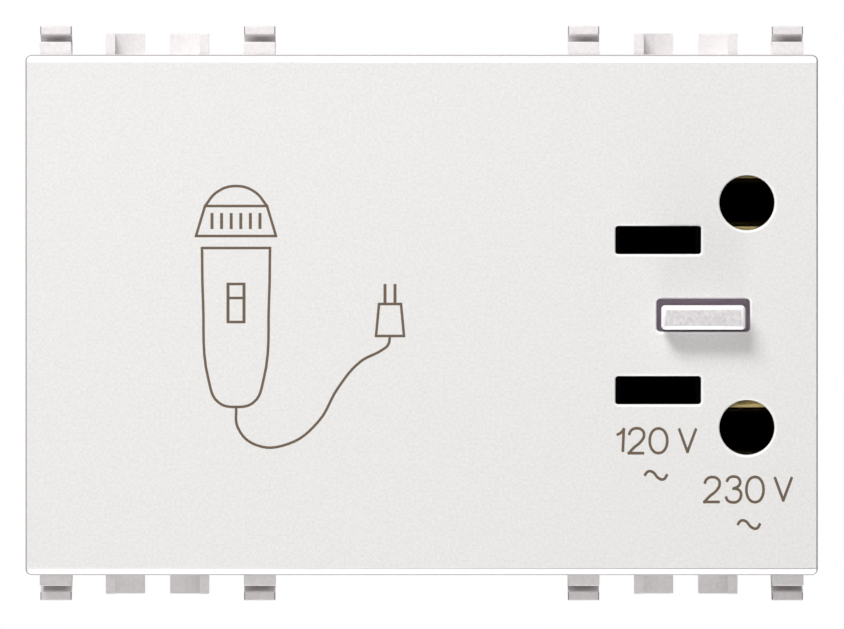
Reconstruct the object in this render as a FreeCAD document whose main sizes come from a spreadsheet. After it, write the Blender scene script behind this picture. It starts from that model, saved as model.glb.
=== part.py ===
import FreeCAD, Part
import math
import os
import re
import Sketcher
from FreeCAD import Placement, Rotation, Vector

"""Three-module shaver supply socket with an isolating transformer and two voltages.

Frame: +X to the right seen from the front, +Y into the wall, +Z up. The origin is the middle
of the module on the seat plane, where the collar meets the mounting frame. Millimetres.
Bare names in a formula are cells of the two sheets, sizes and places.
"""

# Driving sizes
SIZES = {
    # face cover
    "plate_width": "67.0",
    "plate_height": "44.0",
    "face_height": "9.0",
    "face_wall": "1.5",
    "skirt_wall": "1.3",
    "skirt_draft": "0.12",
    "plate_corner": "0.5",
    "face_edge": "0.45",
    "cover_gap": "0.2",
    # outlets in the face
    "pin_hole_radius": "2.335",
    "pin_x": "27.5",
    "pin_pitch": "19.0",
    "slot_x": "20.0",
    "slot_pitch": "12.7",
    "slot_width": "7.25",
    "slot_height": "2.4",
    "slot_corner": "0.25",
    # plunger between the outlets
    "plunger_x": "23.8",
    "window_width": "7.9",
    "window_height": "2.8",
    "bar_width": "7.1",
    "bar_height": "2.05",
    "bar_corner": "0.35",
    "bar_edge": "0.35",
    "bar_proud": "2.0",
    "bar_drop": "0.18",
    "flange_lip": "1.1",
    "flange_thick": "1.2",
    "stem_radius": "1.2",
    "stem_length": "4.2",
    "slide_gap": "0.1",
    "stop_gap": "0.05",
    # spring under the flange
    "spring_radius": "1.7",
    "spring_wire": "0.175",
    "spring_turns": "5",
    "spring_gap": "0.25",
    "spring_seat": "0.02",
    # rear housing
    "rim_gap": "0.2",
    "rim_setback": "0.9",
    "housing_wall": "1.3",
    "housing_depth": "33.0",
    "housing_corner": "1.0",
    "housing_draft": "0.3",
    "floor_wall": "1.5",
    "collar_depth": "2.5",
    "collar_inset": "0.2",
    # latches and locating ribs of the mounting frame
    "module_pitch": "22.4",
    "latch_offset": "8.65",
    "latch_width": "2.65",
    "latch_rise": "1.05",
    "latch_slit": "0.62",
    "latch_tongue": "0.72",
    "latch_length": "9.2",
    "latch_bend": "2.0",
    "latch_flat": "1.4",
    "latch_slope": "0.25",
    "frame_edge": "1.6",
    "rib_offset": "2.72",
    "rib_width": "3.32",
    "rib_rise": "1.75",
    "rib_depth": "1.2",
    "rib_strip_width": "0.8",
    "rib_strip_depth": "2.4",
    # snap catches between cover and housing
    "catch_x": "18.0",
    "catch_width": "6.0",
    "catch_reach": "0.65",
    "catch_height": "1.6",
    "catch_ramp": "1.1",
    "catch_setback": "0.8",
    "catch_gap": "0.2",
    # ribs, posts and partition inside the housing
    "rib_wall": "1.2",
    "post_x": "28.2",
    "post_z": "16.6",
    "post_radius": "1.9",
    "screw_radius": "1.1",
    "screw_length": "7.0",
    "screw_head_radius": "1.7",
    "screw_head_height": "1.2",
    "screw_tip_gap": "0.5",
    "thread_gap": "0.05",
    "partition_x": "12.4",
    "embed": "0.4",
    # socket carrier
    "carrier_gap": "0.2",
    "carrier_plate": "1.5",
    "carrier_inset": "0.3",
    "carrier_extra": "0.3",
    "carrier_wall": "1.2",
    "boss_floor": "1.2",
    "lead_in": "0.27",
    "chamber_gap": "0.1",
    # contacts
    "strip": "0.6",
    "jaw_setback": "3.7",
    "pin_jaw_width": "4.4",
    "pin_jaw_flare": "2.05",
    "pin_jaw_pinch": "1.45",
    "pin_jaw_body": "2.1",
    "blade_jaw_setback": "5.4",
    "blade_jaw_width": "6.2",
    "blade_jaw_flare": "1.5",
    "blade_jaw_pinch": "0.65",
    "blade_jaw_body": "1.0",
    "pinch_depth": "2.4",
    "relief_depth": "5.0",
    "web_setback": "0.4",
    "common_jaw_drop": "0.4",
    "bridge_height": "1.1",
    "tab_width": "1.6",
    "tab_length": "3.6",
    "tab_gap": "0.2",
    "tab_inset": "0.5",
    # contact retainer
    "retainer_plate": "1.4",
    "peg_x": "26.8",
    "peg_z": "4.85",
    "peg_radius": "1.0",
    "peg_proud": "0.8",
    "leg_inset": "0.6",
    "leg_width": "1.5",
    "leg_height": "2.4",
    # snap switch
    "switch_length": "12.0",
    "switch_height": "5.8",
    "switch_depth": "7.0",
    "switch_edge": "0.3",
    "button_radius": "1.25",
    "button_gap": "0.05",
    "button_touch": "0.1",
    "button_hidden": "3.1",
    "switch_tab_pitch": "4.7",
    "switch_tab_short": "0.3",
    "switch_clear": "0.3",
    "switch_rib_offset": "2.3",
    "switch_rib_width": "1.0",
    # transformer
    "lamination_unit": "6.4",
    "stack_front": "2.0",
    "core_gap": "0.1",
    "bobbin_wall": "0.9",
    "bobbin_gap": "0.1",
    "flange_inset": "0.2",
    "winding_build": "4.6",
    "winding_gap": "0.05",
    "winding_corner": "2.4",
    "tape_thick": "0.3",
    "pad_thick": "0.8",
    "pad_height": "1.6",
    "pin_side": "0.8",
    "pin_length": "1.8",
    "pin_row_step": "1.5",
    "pin_step": "2.4",
    "pin_inset": "1.1",
    "pin_behind_core": "1.4",
    "disc_radius": "3.6",
    "disc_thick": "2.4",
    "disc_gap": "1.1",
    # terminals
    "terminal_width": "8.0",
    "terminal_height": "6.4",
    "terminal_z": "11.2",
    "terminal_edge": "0.4",
    "terminal_seat": "2.5",
    "wire_hole_radius": "1.9",
    "wire_offset": "0.6",
    "wire_entry_radius": "2.1",
    "grub_radius": "1.75",
    "grub_length": "5.4",
    "grub_slot": "0.6",
    "grub_slot_depth": "1.0",
    "grub_clear": "0.2",
    "well_radius": "2.2",
    "pocket_rise": "7.0",
    "pocket_gap": "0.1",
    # insulated leads
    "lead_radius": "0.6",
    "lead_gap": "0.2",
    "notch_gap": "0.3",
    "bend_share": "0.45",
    "column_setback": "0.8",
    "column_step": "1.4",
    "fall_120v": "1.6",
    "tab_fall_120v": "2.2",
    "tab_fall_common": "2.6",
    "neutral_shift": "2.8",
    "disc_approach": "3.0",
    # how far a cutting tool reaches past the material
    "cut_over": "1.0",
}

# Places worked out from the driving sizes
PLACES = {
    "half_width": "plate_width / 2",
    "half_height": "plate_height / 2",
    "face_y": "-face_height",
    "face_back_y": "face_y + face_wall",
    "cover_rear_y": "-collar_depth - cover_gap",
    "cover_inside_x": "half_width - skirt_wall",
    "cover_inside_z": "half_height - skirt_wall",
    "pin_z": "pin_pitch / 2",
    "slot_z": "slot_pitch / 2",
    "plunger_z": "-bar_drop",
    # housing
    "rim_x": "cover_inside_x - rim_gap",
    "rim_z": "cover_inside_z - rim_gap",
    "inside_x": "rim_x - housing_wall",
    "inside_z": "rim_z - housing_wall",
    "rim_front_y": "face_back_y + rim_setback",
    "floor_y": "housing_depth - floor_wall",
    "collar_x": "half_width - collar_inset",
    "collar_z": "half_height - collar_inset",
    "latch_pad_z": "half_height + latch_rise",
    "latch_tongue_z": "latch_pad_z + latch_slit",
    "latch_top_z": "latch_tongue_z + latch_tongue",
    "catch_y": "cover_rear_y - catch_setback",
    # carrier
    "carrier_front_y": "face_back_y + carrier_gap",
    "carrier_back_y": "carrier_front_y + carrier_plate",
    "carrier_depth": "housing_depth / 2 + carrier_extra",
    "carrier_end_y": "carrier_back_y + carrier_depth",
    "carrier_x": "inside_x - carrier_inset",
    "carrier_z": "inside_z - carrier_inset",
    "boss_end_y": "carrier_back_y + boss_floor",
    # plunger and switch
    "flange_front_y": "face_back_y + slide_gap",
    "flange_back_y": "flange_front_y + flange_thick",
    "stem_end_y": "flange_back_y + stem_length",
    "ledge_y": "flange_back_y + bar_proud + stop_gap",
    "flange_x": "bar_width / 2 + flange_lip",
    "flange_z": "bar_height / 2 + flange_lip",
    "button_top_y": "stem_end_y + button_touch",
    "switch_front_y": "button_top_y + bar_proud + switch_clear",
    "switch_back_y": "switch_front_y + switch_depth",
    "button_end_y": "switch_front_y + button_hidden",
    "spring_hole": "spring_radius + spring_wire + spring_gap",
    # contacts
    "pin_jaw_y": "face_y + jaw_setback",
    "blade_jaw_y": "face_y + blade_jaw_setback",
    "web_y": "carrier_end_y - web_setback - strip",
    "pin_chamber_x": "pin_jaw_width / 2 + chamber_gap",
    "pin_chamber_z": "pin_jaw_body + strip + chamber_gap",
    "blade_chamber_x": "blade_jaw_width / 2 + chamber_gap",
    "blade_chamber_z": "max(blade_jaw_flare; blade_jaw_body) + strip / 2 + chamber_gap",
    "common_pin_z": "-pin_z - common_jaw_drop",
    "tab_x": "slot_x - blade_jaw_width / 2 + tab_width / 2 + tab_inset",
    "bridge_z": "(pin_z + common_jaw_drop - pin_jaw_body + slot_z + blade_jaw_body) / 2",
    "tab_end_y": "web_y + strip + tab_length",
    "block_left": "slot_x - blade_chamber_x - carrier_wall",
    "block_step_x": "pin_x - pin_chamber_x - carrier_wall",
    "block_low_z": "slot_z + blade_chamber_z + carrier_wall",
    "block_high_z": "pin_z + common_jaw_drop + pin_chamber_z + carrier_wall",
    "retainer_back_y": "carrier_end_y + retainer_plate",
    # transformer
    "core_right": "partition_x - core_gap",
    "core_x": "core_right - 3 * lamination_unit",
    "core_left": "core_x - 3 * lamination_unit",
    "core_low": "-2.5 * lamination_unit",
    "core_high": "2.5 * lamination_unit",
    "window_z": "1.5 * lamination_unit",
    "disc_back_y": "floor_y - disc_gap",
    "ring_depth": "bobbin_gap + bobbin_wall + winding_build + 2 * winding_gap + tape_thick",
    "stack_back": "disc_back_y - disc_thick - ring_depth",
    "stack_depth": "stack_back - stack_front",
    "tube_x": "lamination_unit + bobbin_gap",
    "tube_front": "stack_front - bobbin_gap",
    "tube_back": "stack_back + bobbin_gap",
    "bobbin_z": "window_z - bobbin_gap",
    "flange_half": "2 * lamination_unit - flange_inset",
    "room_z": "bobbin_z - bobbin_wall",
    "winding_bore": "tube_x + bobbin_wall + winding_gap",
    "winding_front": "tube_front - bobbin_wall - winding_gap",
    "winding_back": "tube_back + bobbin_wall + winding_gap",
    "winding_x": "winding_bore + winding_build",
    "tape_x": "winding_x + winding_gap + tape_thick",
    "tape_front": "winding_front - winding_build - winding_gap - tape_thick",
    "tape_back": "winding_back + winding_build + winding_gap + tape_thick",
    "support_z": "2 * lamination_unit",
    "lead_z": "bobbin_z + lead_gap + lead_radius",
    "pin_row_x": "core_x + flange_half - pin_inset",
    "pin_row_y": "stack_back + pin_behind_core",
    "disc_y": "tape_back + disc_thick / 2",
    # terminals
    "terminal_back": "floor_y - terminal_seat",
    "terminal_depth": "housing_depth * 3 / 11",
    "terminal_front": "terminal_back - terminal_depth",
    "terminal_y": "(terminal_back + terminal_front) / 2",
    "terminal_in": "terminal_z - terminal_height / 2",
    "terminal_out": "terminal_z + terminal_height / 2",
    "wire_z": "terminal_z - wire_offset",
    "grub_end": "wire_z + wire_hole_radius + grub_clear",
    "switch_tab_end": "tab_end_y - switch_tab_short",
    "switch_tab_length": "switch_tab_end - switch_back_y",
    "bend_y": "(retainer_back_y + terminal_front) / 2 + lead_radius",
}

DOC = FreeCAD.newDocument("shaver_socket")
NODES = []
SIDES = ("", "-")
SAME = 1e-4
NOTHING = 1e-6
WIRE_SIDES = 8
CORNERS = [(sx, sz) for sx in SIDES for sz in SIDES]


# Sheets and formulas

def full(formula):
    """Give every bare cell name in a formula the sheet that holds it."""
    def with_sheet(match):
        word = match.group(0)
        if word in SIZES:
            return "sizes." + word
        if word in PLACES:
            return "places." + word
        return word
    return re.sub(r"[a-z][a-z_]*", with_sheet, str(formula))


def value(formula):
    """The number that a formula gives."""
    return float(DOC.sizes.evalExpression(full(formula)))


def fill_sheet(name, cells, as_formula):
    """Write a sheet with one named cell in each row."""
    sheet = DOC.addObject("Spreadsheet::Sheet", name)
    for row, (alias, content) in enumerate(cells.items(), start=1):
        sheet.set(f"A{row}", alias)
        sheet.set(f"B{row}", content)
        sheet.setAlias(f"B{row}", alias)
    if as_formula:
        for row, content in enumerate(cells.values(), start=1):
            own = re.sub(r"places\.", "", full(content))
            sheet.set(f"B{row}", "=" + own)
    DOC.recompute()
    return sheet


def bind(thing, **formulas):
    """Bind properties of an object to formulas."""
    for name, formula in formulas.items():
        thing.setExpression(name, full(formula))


def move(thing, x="0", y="0", z="0"):
    """Bind the place of an object to formulas."""
    for axis, formula in (("x", x), ("y", y), ("z", z)):
        thing.setExpression(".Placement.Base." + axis, full(formula))


def ordered(sign, near, far):
    """Two formulas, lower first: on the negative side the far one is the lower."""
    return (far, near) if sign == "-" else (near, far)


def node(thing, label):
    """Name a finished sub-part and list it for export."""
    thing.Label = label
    NODES.append(thing)
    return thing


# Sketches

def sketch_on(body, name, role, offset="0"):
    """Sketch on an origin plane of the body, moved along the normal of the plane."""
    sketch = body.newObject("Sketcher::SketchObject", name)
    plane = next(f for f in body.Origin.OriginFeatures if f.Role == role)
    sketch.AttachmentSupport = [(plane, "")]
    sketch.MapMode = "FlatFace"
    sketch.setExpression(".AttachmentOffset.Base.z", full(offset))
    return sketch


def front_sketch(body, name, y):
    """Sketch in X and Z at depth y: a pad from it grows towards the viewer."""
    return sketch_on(body, name, "XZ_Plane", f"-({y})")


def side_sketch(body, name, x="0"):
    """Sketch in Y and Z at x: a pad from it grows towards +X."""
    return sketch_on(body, name, "YZ_Plane", x)


def plan_sketch(body, name, z="0"):
    """Sketch in X and Y at height z: a pad from it grows towards +Z."""
    return sketch_on(body, name, "XY_Plane", z)


def hold(sketch, kind, index, point, formula):
    """Constrain one coordinate of a point, or a radius, to a formula."""
    number = value(formula)
    if kind == "Radius":
        made = sketch.addConstraint(Sketcher.Constraint(kind, index, number))
    else:
        made = sketch.addConstraint(Sketcher.Constraint(kind, index, point, number))
    sketch.setExpression(f"Constraints[{made}]", full(formula))


def polygon(sketch, corners):
    """Closed outline of straight lines through corners given as pairs of formulas."""
    places = [Vector(value(a), value(b), 0) for a, b in corners]
    first = sketch.GeometryCount
    count = len(corners)
    for i in range(count):
        sketch.addGeometry(Part.LineSegment(places[i], places[(i + 1) % count]), False)
    for i in range(count):
        after = first + (i + 1) % count
        sketch.addConstraint(Sketcher.Constraint("Coincident", first + i, 2, after, 1))
        hold(sketch, "DistanceX", first + i, 1, corners[i][0])
        hold(sketch, "DistanceY", first + i, 1, corners[i][1])


def rectangle(sketch, left, right, low, high):
    """Upright rectangle between four formulas."""
    polygon(sketch, [(left, low), (right, low), (right, high), (left, high)])


def rounded(sketch, left, right, low, high, radius):
    """Upright rectangle with four equal round corners."""
    x0, x1, z0, z1, r = (value(v) for v in (left, right, low, high, radius))
    centres = [(x1 - r, z0 + r, 270), (x1 - r, z1 - r, 0), (x0 + r, z1 - r, 90), (x0 + r, z0 + r, 180)]
    ends = [
        ((x0 + r, z0), (x1 - r, z0)),
        ((x1, z0 + r), (x1, z1 - r)),
        ((x1 - r, z1), (x0 + r, z1)),
        ((x0, z1 - r), (x0, z0 + r)),
    ]
    first = sketch.GeometryCount
    for (start, end), (cx, cz, angle) in zip(ends, centres):
        sketch.addGeometry(Part.LineSegment(Vector(*start, 0), Vector(*end, 0)), False)
        circle = Part.Circle(Vector(cx, cz, 0), Vector(0, 0, 1), r)
        turn = math.radians(angle)
        sketch.addGeometry(Part.ArcOfCircle(circle, turn, turn + math.pi / 2), False)
    for i in range(0, 8, 2):
        line, arc, after = first + i, first + i + 1, first + (i + 2) % 8
        sketch.addConstraint(Sketcher.Constraint("Tangent", line, 2, arc, 1))
        sketch.addConstraint(Sketcher.Constraint("Tangent", arc, 2, after, 1))
        level = "Horizontal" if i % 4 == 0 else "Vertical"
        sketch.addConstraint(Sketcher.Constraint(level, line))
        if i:
            sketch.addConstraint(Sketcher.Constraint("Equal", first + 1, arc))
    hold(sketch, "Radius", first + 1, 0, radius)
    hold(sketch, "DistanceY", first, 1, low)
    hold(sketch, "DistanceX", first + 2, 1, right)
    hold(sketch, "DistanceY", first + 4, 1, high)
    hold(sketch, "DistanceX", first + 6, 1, left)


def circle(sketch, x, z, radius):
    """Circle with its centre and radius bound."""
    centre = Vector(value(x), value(z), 0)
    index = sketch.addGeometry(Part.Circle(centre, Vector(0, 0, 1), value(radius)), False)
    hold(sketch, "DistanceX", index, 3, x)
    hold(sketch, "DistanceY", index, 3, z)
    hold(sketch, "Radius", index, 0, radius)


# Features

def changed(body, before, grows):
    """Recompute and make sure that the last feature added or removed material."""
    DOC.recompute()
    after = body.Shape.Volume
    if (after - before) * (1 if grows else -1) < NOTHING:
        raise RuntimeError(f"{body.Label}: {body.Tip.Label} changed nothing")


def volume(body):
    """Volume of the body so far."""
    return body.Shape.Volume if body.Tip else 0.0


def extrude(kind, body, sketch, length, back, middle, taper):
    """Pad or pocket with its length and taper bound."""
    before = volume(body)
    feature = body.newObject("PartDesign::" + kind, sketch.Name + "_" + kind.lower())
    feature.Profile = sketch
    feature.Refine = False
    bind(feature, Length=length)
    if middle:
        feature.SideType = "Symmetric"
    feature.Reversed = back
    if taper:
        bind(feature, TaperAngle=taper)
    changed(body, before, kind == "Pad")
    return feature


def pad(body, sketch, length, back=False, middle=False, taper=None):
    """Add a prism: towards the normal of the sketch, or away from it with back."""
    return extrude("Pad", body, sketch, length, back, middle, taper)


def pocket(body, sketch, length, back=False, middle=False, taper=None):
    """Cut a prism: away from the normal of the sketch, or towards it with back."""
    return extrude("Pocket", body, sketch, length, back, middle, taper)


def edge_names(shape, wanted):
    """Names of the edges whose middle passes a test."""
    names = []
    for index, edge in enumerate(shape.Edges, start=1):
        middle = edge.valueAt((edge.FirstParameter + edge.LastParameter) / 2)
        if wanted(edge, middle):
            names.append(f"Edge{index}")
    return names


def dress(kind, body, size, wanted):
    """Fillet or chamfer the edges of the body that pass a test."""
    base = body.Tip
    names = edge_names(base.Shape, wanted)
    before = volume(body)
    feature = body.newObject("PartDesign::" + kind, base.Name + "_" + kind.lower())
    feature.Base = (base, names)
    bind(feature, **{"Radius" if kind == "Fillet" else "Size": size})
    changed(body, before, False)
    return feature


def mirror(body, originals, role):
    """Mirror features on an origin plane of the body."""
    before = volume(body)
    feature = body.newObject("PartDesign::Mirrored", f"mirror_{len(body.Group)}")
    plane = next(f for f in body.Origin.OriginFeatures if f.Role == role)
    feature.Originals = originals
    feature.MirrorPlane = (plane, [""])
    feature.Refine = False
    body.Tip = feature
    changed(body, before, all(o.TypeId.endswith("Pad") for o in originals))
    return feature


def new_body(label):
    """Empty body for one sub-part."""
    body = DOC.addObject("PartDesign::Body", label)
    return node(body, label)


def prism(name, x, y, z, length, width, height):
    """Part box from its lowest corner, all six values bound."""
    made = DOC.addObject("Part::Box", name)
    bind(made, Length=length, Width=width, Height=height)
    move(made, x, y, z)
    return made


def rod(name, x, y, z, radius, length, axis):
    """Part cylinder from the middle of its first end, along +Y or +Z."""
    made = DOC.addObject("Part::Cylinder", name)
    bind(made, Radius=radius, Height=length)
    if axis == "y":
        made.Placement = Placement(Vector(), Rotation(Vector(1, 0, 0), -90))
    move(made, x, y, z)
    return made


def cut(name, base, tool):
    """Boolean cut of two Part objects."""
    made = DOC.addObject("Part::Cut", name)
    made.Base = base
    made.Tool = tool
    return made


def group(name, pieces):
    """Several solids of one sub-part."""
    made = DOC.addObject("Part::Compound", name)
    made.Links = pieces
    return made


# Face cover

def front_cover():
    """Face and skirt, one moulding, drafted towards the face."""
    body = new_body("front_cover")
    skirt = front_sketch(body, "skirt_outline", "cover_rear_y")
    rounded(skirt, "-half_width", "half_width", "-half_height", "half_height", "plate_corner")
    pad(body, skirt, "cover_rear_y - face_y", taper="-atan(skirt_draft / (cover_rear_y - face_y))")

    bevel = side_sketch(body, "face_bevel")
    edge_z = "(half_height - skirt_draft)"
    for side in SIDES:
        polygon(bevel, [
            ("face_y - cut_over", f"{side}({edge_z} - face_edge)"),
            ("face_y", f"{side}({edge_z} - face_edge)"),
            ("face_y + face_edge", f"{side}({edge_z} + skirt_draft / 10)"),
            ("face_y + face_edge", f"{side}(half_height + cut_over)"),
            ("face_y - cut_over", f"{side}(half_height + cut_over)"),
        ])
    pocket(body, bevel, "plate_width + 2 * cut_over", middle=True)

    inside = front_sketch(body, "cover_inside", "cover_rear_y")
    rectangle(inside, "-cover_inside_x", "cover_inside_x", "-cover_inside_z", "cover_inside_z")
    pocket(body, inside, "cover_rear_y - face_back_y", back=True)

    holes = front_sketch(body, "face_holes", "face_y")
    for side in SIDES:
        circle(holes, "pin_x", side + "pin_z", "pin_hole_radius")
        low = f"{side}slot_z - slot_height / 2"
        high = f"{side}slot_z + slot_height / 2"
        left = "slot_x - slot_width / 2"
        rounded(holes, left, "slot_x + slot_width / 2", low, high, "slot_corner")
    rounded(
        holes,
        "plunger_x - window_width / 2",
        "plunger_x + window_width / 2",
        "-window_height / 2",
        "window_height / 2",
        "bar_corner",
    )
    pocket(body, holes, "face_wall + cut_over")

    catches = []
    for side in SIDES:
        wedge = side_sketch(body, "catch_profile", side + "catch_x")
        polygon(wedge, [
            ("catch_y", "cover_inside_z + embed"),
            ("catch_y", "cover_inside_z"),
            ("catch_y - catch_ramp", "cover_inside_z - catch_reach"),
            ("catch_y - catch_height", "cover_inside_z - catch_reach"),
            ("catch_y - catch_height", "cover_inside_z + embed"),
        ])
        catches.append(pad(body, wedge, "catch_width", middle=True))
    mirror(body, catches, "XY_Plane")


# Rear housing

def latch(body, x):
    """Upper and lower U-shaped snap latch: the free end of the tongue faces the mounting frame."""
    profile = side_sketch(body, "latch_profile", x)
    corners = [
        ("-collar_depth", "inside_z + embed"),
        ("latch_length", "inside_z + embed"),
        ("latch_length", "latch_pad_z - latch_slope"),
        ("frame_edge + latch_flat", "latch_top_z"),
        ("frame_edge", "latch_top_z"),
        ("frame_edge", "latch_tongue_z"),
        ("latch_length - latch_bend", "latch_pad_z - latch_slope"),
        ("latch_length - latch_bend", "latch_pad_z - latch_slope - latch_slit"),
        ("frame_edge", "latch_pad_z"),
        ("-collar_depth", "latch_pad_z"),
    ]
    for side in SIDES:
        polygon(profile, [(y, f"{side}({z})") for y, z in corners])
    pad(body, profile, "latch_width", middle=True)


def locating_ribs(body):
    """Ribs that seat on the front of the mounting frame, with a strip on their outer side."""
    panels = front_sketch(body, "rib_panels", "0")
    strips = front_sketch(body, "rib_strips", "0")
    for centre in ("-module_pitch", "module_pitch"):
        for side in ("-", "+"):
            near = f"{centre} {side} (rib_offset - rib_width / 2)"
            far = f"{centre} {side} (rib_offset + rib_width / 2)"
            inner = f"{centre} {side} (rib_offset + rib_width / 2 - rib_strip_width)"
            for half in SIDES:
                heights = ordered(half, f"{half}(inside_z + embed)", f"{half}(half_height + rib_rise)")
                rectangle(panels, *ordered(side, near, far), *heights)
                rectangle(strips, *ordered(side, inner, far), *heights)
    pad(body, panels, "rib_depth")
    pad(body, strips, "rib_strip_depth")


def housing_floor_ribs(body):
    """Partition, core seats and guides, and terminal pockets, all standing on the floor."""
    root = "floor_y + embed"
    wall = "inside_z + embed"
    names = ("partition", "core_seats", "core_guides", "terminal_pockets", "terminal_plinths", "brackets")
    partition, seats, guides, pockets, plinths, brackets = (front_sketch(body, n, root) for n in names)
    left = "plunger_x - terminal_width / 2 - pocket_gap"
    right = "plunger_x + terminal_width / 2 + pocket_gap"
    low = "terminal_in - pocket_gap"

    rectangle(partition, "partition_x", "partition_x + rib_wall", f"-({wall})", wall)
    for side in SIDES:
        seat = ordered(side, f"{side}(support_z - rib_wall)", f"{side}support_z")
        rectangle(seats, "core_left", "partition_x + embed", *seat)
        guide = ordered(side, f"{side}lamination_unit", f"{side}(lamination_unit + rib_wall)")
        rectangle(guides, "-inside_x - embed", "core_left - core_gap", *guide)
        stop = ordered(side, f"{side}(core_high + core_gap)", f"{side}({wall})")
        for place in ("core_x - 2 * lamination_unit", "core_x + 2 * lamination_unit"):
            rectangle(guides, place, f"{place} + rib_wall", *stop)
        corners = [
            (f"{left} - rib_wall", f"{low} - rib_wall"),
            (f"{right} + rib_wall", f"{low} - rib_wall"),
            (f"{right} + rib_wall", "terminal_out"),
            (right, "terminal_out"),
            (right, low),
            (left, low),
            (left, "terminal_out"),
            (f"{left} - rib_wall", "terminal_out"),
        ]
        polygon(pockets, [(x, f"{side}({z})") for x, z in corners])
        plinth = ordered(side, f"{side}({low} - embed)", f"{side}terminal_out")
        rectangle(plinths, f"{left} - embed", f"{right} + embed", *plinth)
        bracket = ordered(side, f"{side}(terminal_out - embed)", f"{side}({wall})")
        rectangle(brackets, f"{left} - rib_wall", left, *bracket)

    pad(body, partition, "floor_y + embed - carrier_back_y - slide_gap")
    pad(body, seats, "floor_y + embed - stack_back")
    pad(body, guides, "floor_y + embed - stack_front")
    for sketch in (pockets, brackets):
        pad(body, sketch, "floor_y + embed - terminal_back + pocket_rise")
    pad(body, plinths, "floor_y + embed - terminal_back")


def corner_posts(body):
    """Four screw posts, each tied to both of its walls by a web."""
    root = "floor_y + embed"
    half = "rib_wall / 2"
    posts, webs, ties = (front_sketch(body, name, root) for name in ("posts", "post_webs", "post_ties"))
    holes = front_sketch(body, "post_holes", "boss_end_y")
    for sx, sz in CORNERS:
        x, z = sx + "post_x", sz + "post_z"
        circle(posts, x, z, "post_radius")
        circle(holes, x, z, "screw_radius + thread_gap")
        rectangle(webs, f"{x} - {half}", f"{x} + {half}", *ordered(sz, z, f"{sz}(inside_z + embed)"))
        rectangle(ties, *ordered(sx, x, f"{sx}(inside_x + embed)"), f"{z} - {half}", f"{z} + {half}")
    for sketch in (posts, webs, ties):
        pad(body, sketch, "floor_y + embed - boss_end_y")
    pocket(body, holes, "screw_length")


def housing_openings(body):
    """Catch windows, screw wells and wire entries through the outer walls."""
    wells = plan_sketch(body, "screw_wells")
    circle(wells, "plunger_x", "terminal_y", "well_radius")
    for side in SIDES:
        rectangle(
            wells,
            f"{side}catch_x - catch_width / 2 - catch_gap",
            f"{side}catch_x + catch_width / 2 + catch_gap",
            "catch_y - catch_height - catch_gap",
            "catch_y + catch_gap",
        )
    pocket(body, wells, "plate_height * 2", middle=True)


def wire_entries(body):
    """Round holes through the floor and the plinths, with a countersunk mouth."""
    entries = front_sketch(body, "wire_entries", "terminal_back")
    for side in SIDES:
        circle(entries, "plunger_x", side + "wire_z", "wire_entry_radius")
    pocket(body, entries, "terminal_seat + floor_wall + cut_over")


def lead_notches(body):
    """Notches in the partition for the leads that cross it."""
    notches = side_sketch(body, "lead_notches", "partition_x + rib_wall / 2")
    room = "(lead_radius + notch_gap)"
    for side in SIDES:
        low = f"{side}lead_z - {room}"
        high = f"{side}lead_z + {room}"
        near, far = f"pin_row_y - 2 * {room}", f"pin_row_y + 2 * pin_row_step + {room}"
        rectangle(notches, near, far, low, high)
    rectangle(notches, f"disc_y - {room}", "floor_y", f"-({room})", room)
    pocket(body, notches, "rib_wall + 2 * core_gap", middle=True)


def rear_housing():
    """Tray with collar, snap latches, locating ribs and the seats of all inner pieces."""
    body = new_body("rear_housing")
    outline = front_sketch(body, "body_outline", "0")
    rounded(outline, "-rim_x", "rim_x", "-rim_z", "rim_z", "housing_corner")
    pad(body, outline, "housing_depth", back=True, taper="-atan(housing_draft / housing_depth)")
    dress("Fillet", body, "housing_corner / 2", lambda e, m: abs(m.y - value("housing_depth")) < SAME)

    rim = front_sketch(body, "rim_outline", "0")
    rounded(rim, "-rim_x", "rim_x", "-rim_z", "rim_z", "housing_corner")
    pad(body, rim, "-rim_front_y")

    collar = front_sketch(body, "collar_outline", "0")
    rounded(collar, "-collar_x", "collar_x", "-collar_z", "collar_z", "plate_corner")
    pad(body, collar, "collar_depth")

    inside = front_sketch(body, "housing_inside", "rim_front_y")
    rectangle(inside, "-inside_x", "inside_x", "-inside_z", "inside_z")
    pocket(body, inside, "floor_y - rim_front_y")
    housing_openings(body)

    for side in SIDES:
        for sign in ("+", "-"):
            latch(body, f"{side}(module_pitch {sign} latch_offset)")
    locating_ribs(body)
    housing_floor_ribs(body)
    corner_posts(body)
    wire_entries(body)
    lead_notches(body)


# Socket carrier, retainer and screws

def block_corners(gap):
    """Outline of the contact block: narrow beside the blades, wide beside the pins."""
    return [
        (f"block_left + {gap}", f"-block_low_z + {gap}"),
        (f"block_step_x + {gap}", f"-block_low_z + {gap}"),
        (f"block_step_x + {gap}", f"-block_high_z + {gap}"),
        (f"carrier_x - {gap}", f"-block_high_z + {gap}"),
        (f"carrier_x - {gap}", f"block_high_z - {gap}"),
        (f"block_step_x + {gap}", f"block_high_z - {gap}"),
        (f"block_step_x + {gap}", f"block_low_z - {gap}"),
        (f"block_left + {gap}", f"block_low_z - {gap}"),
    ]


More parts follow.
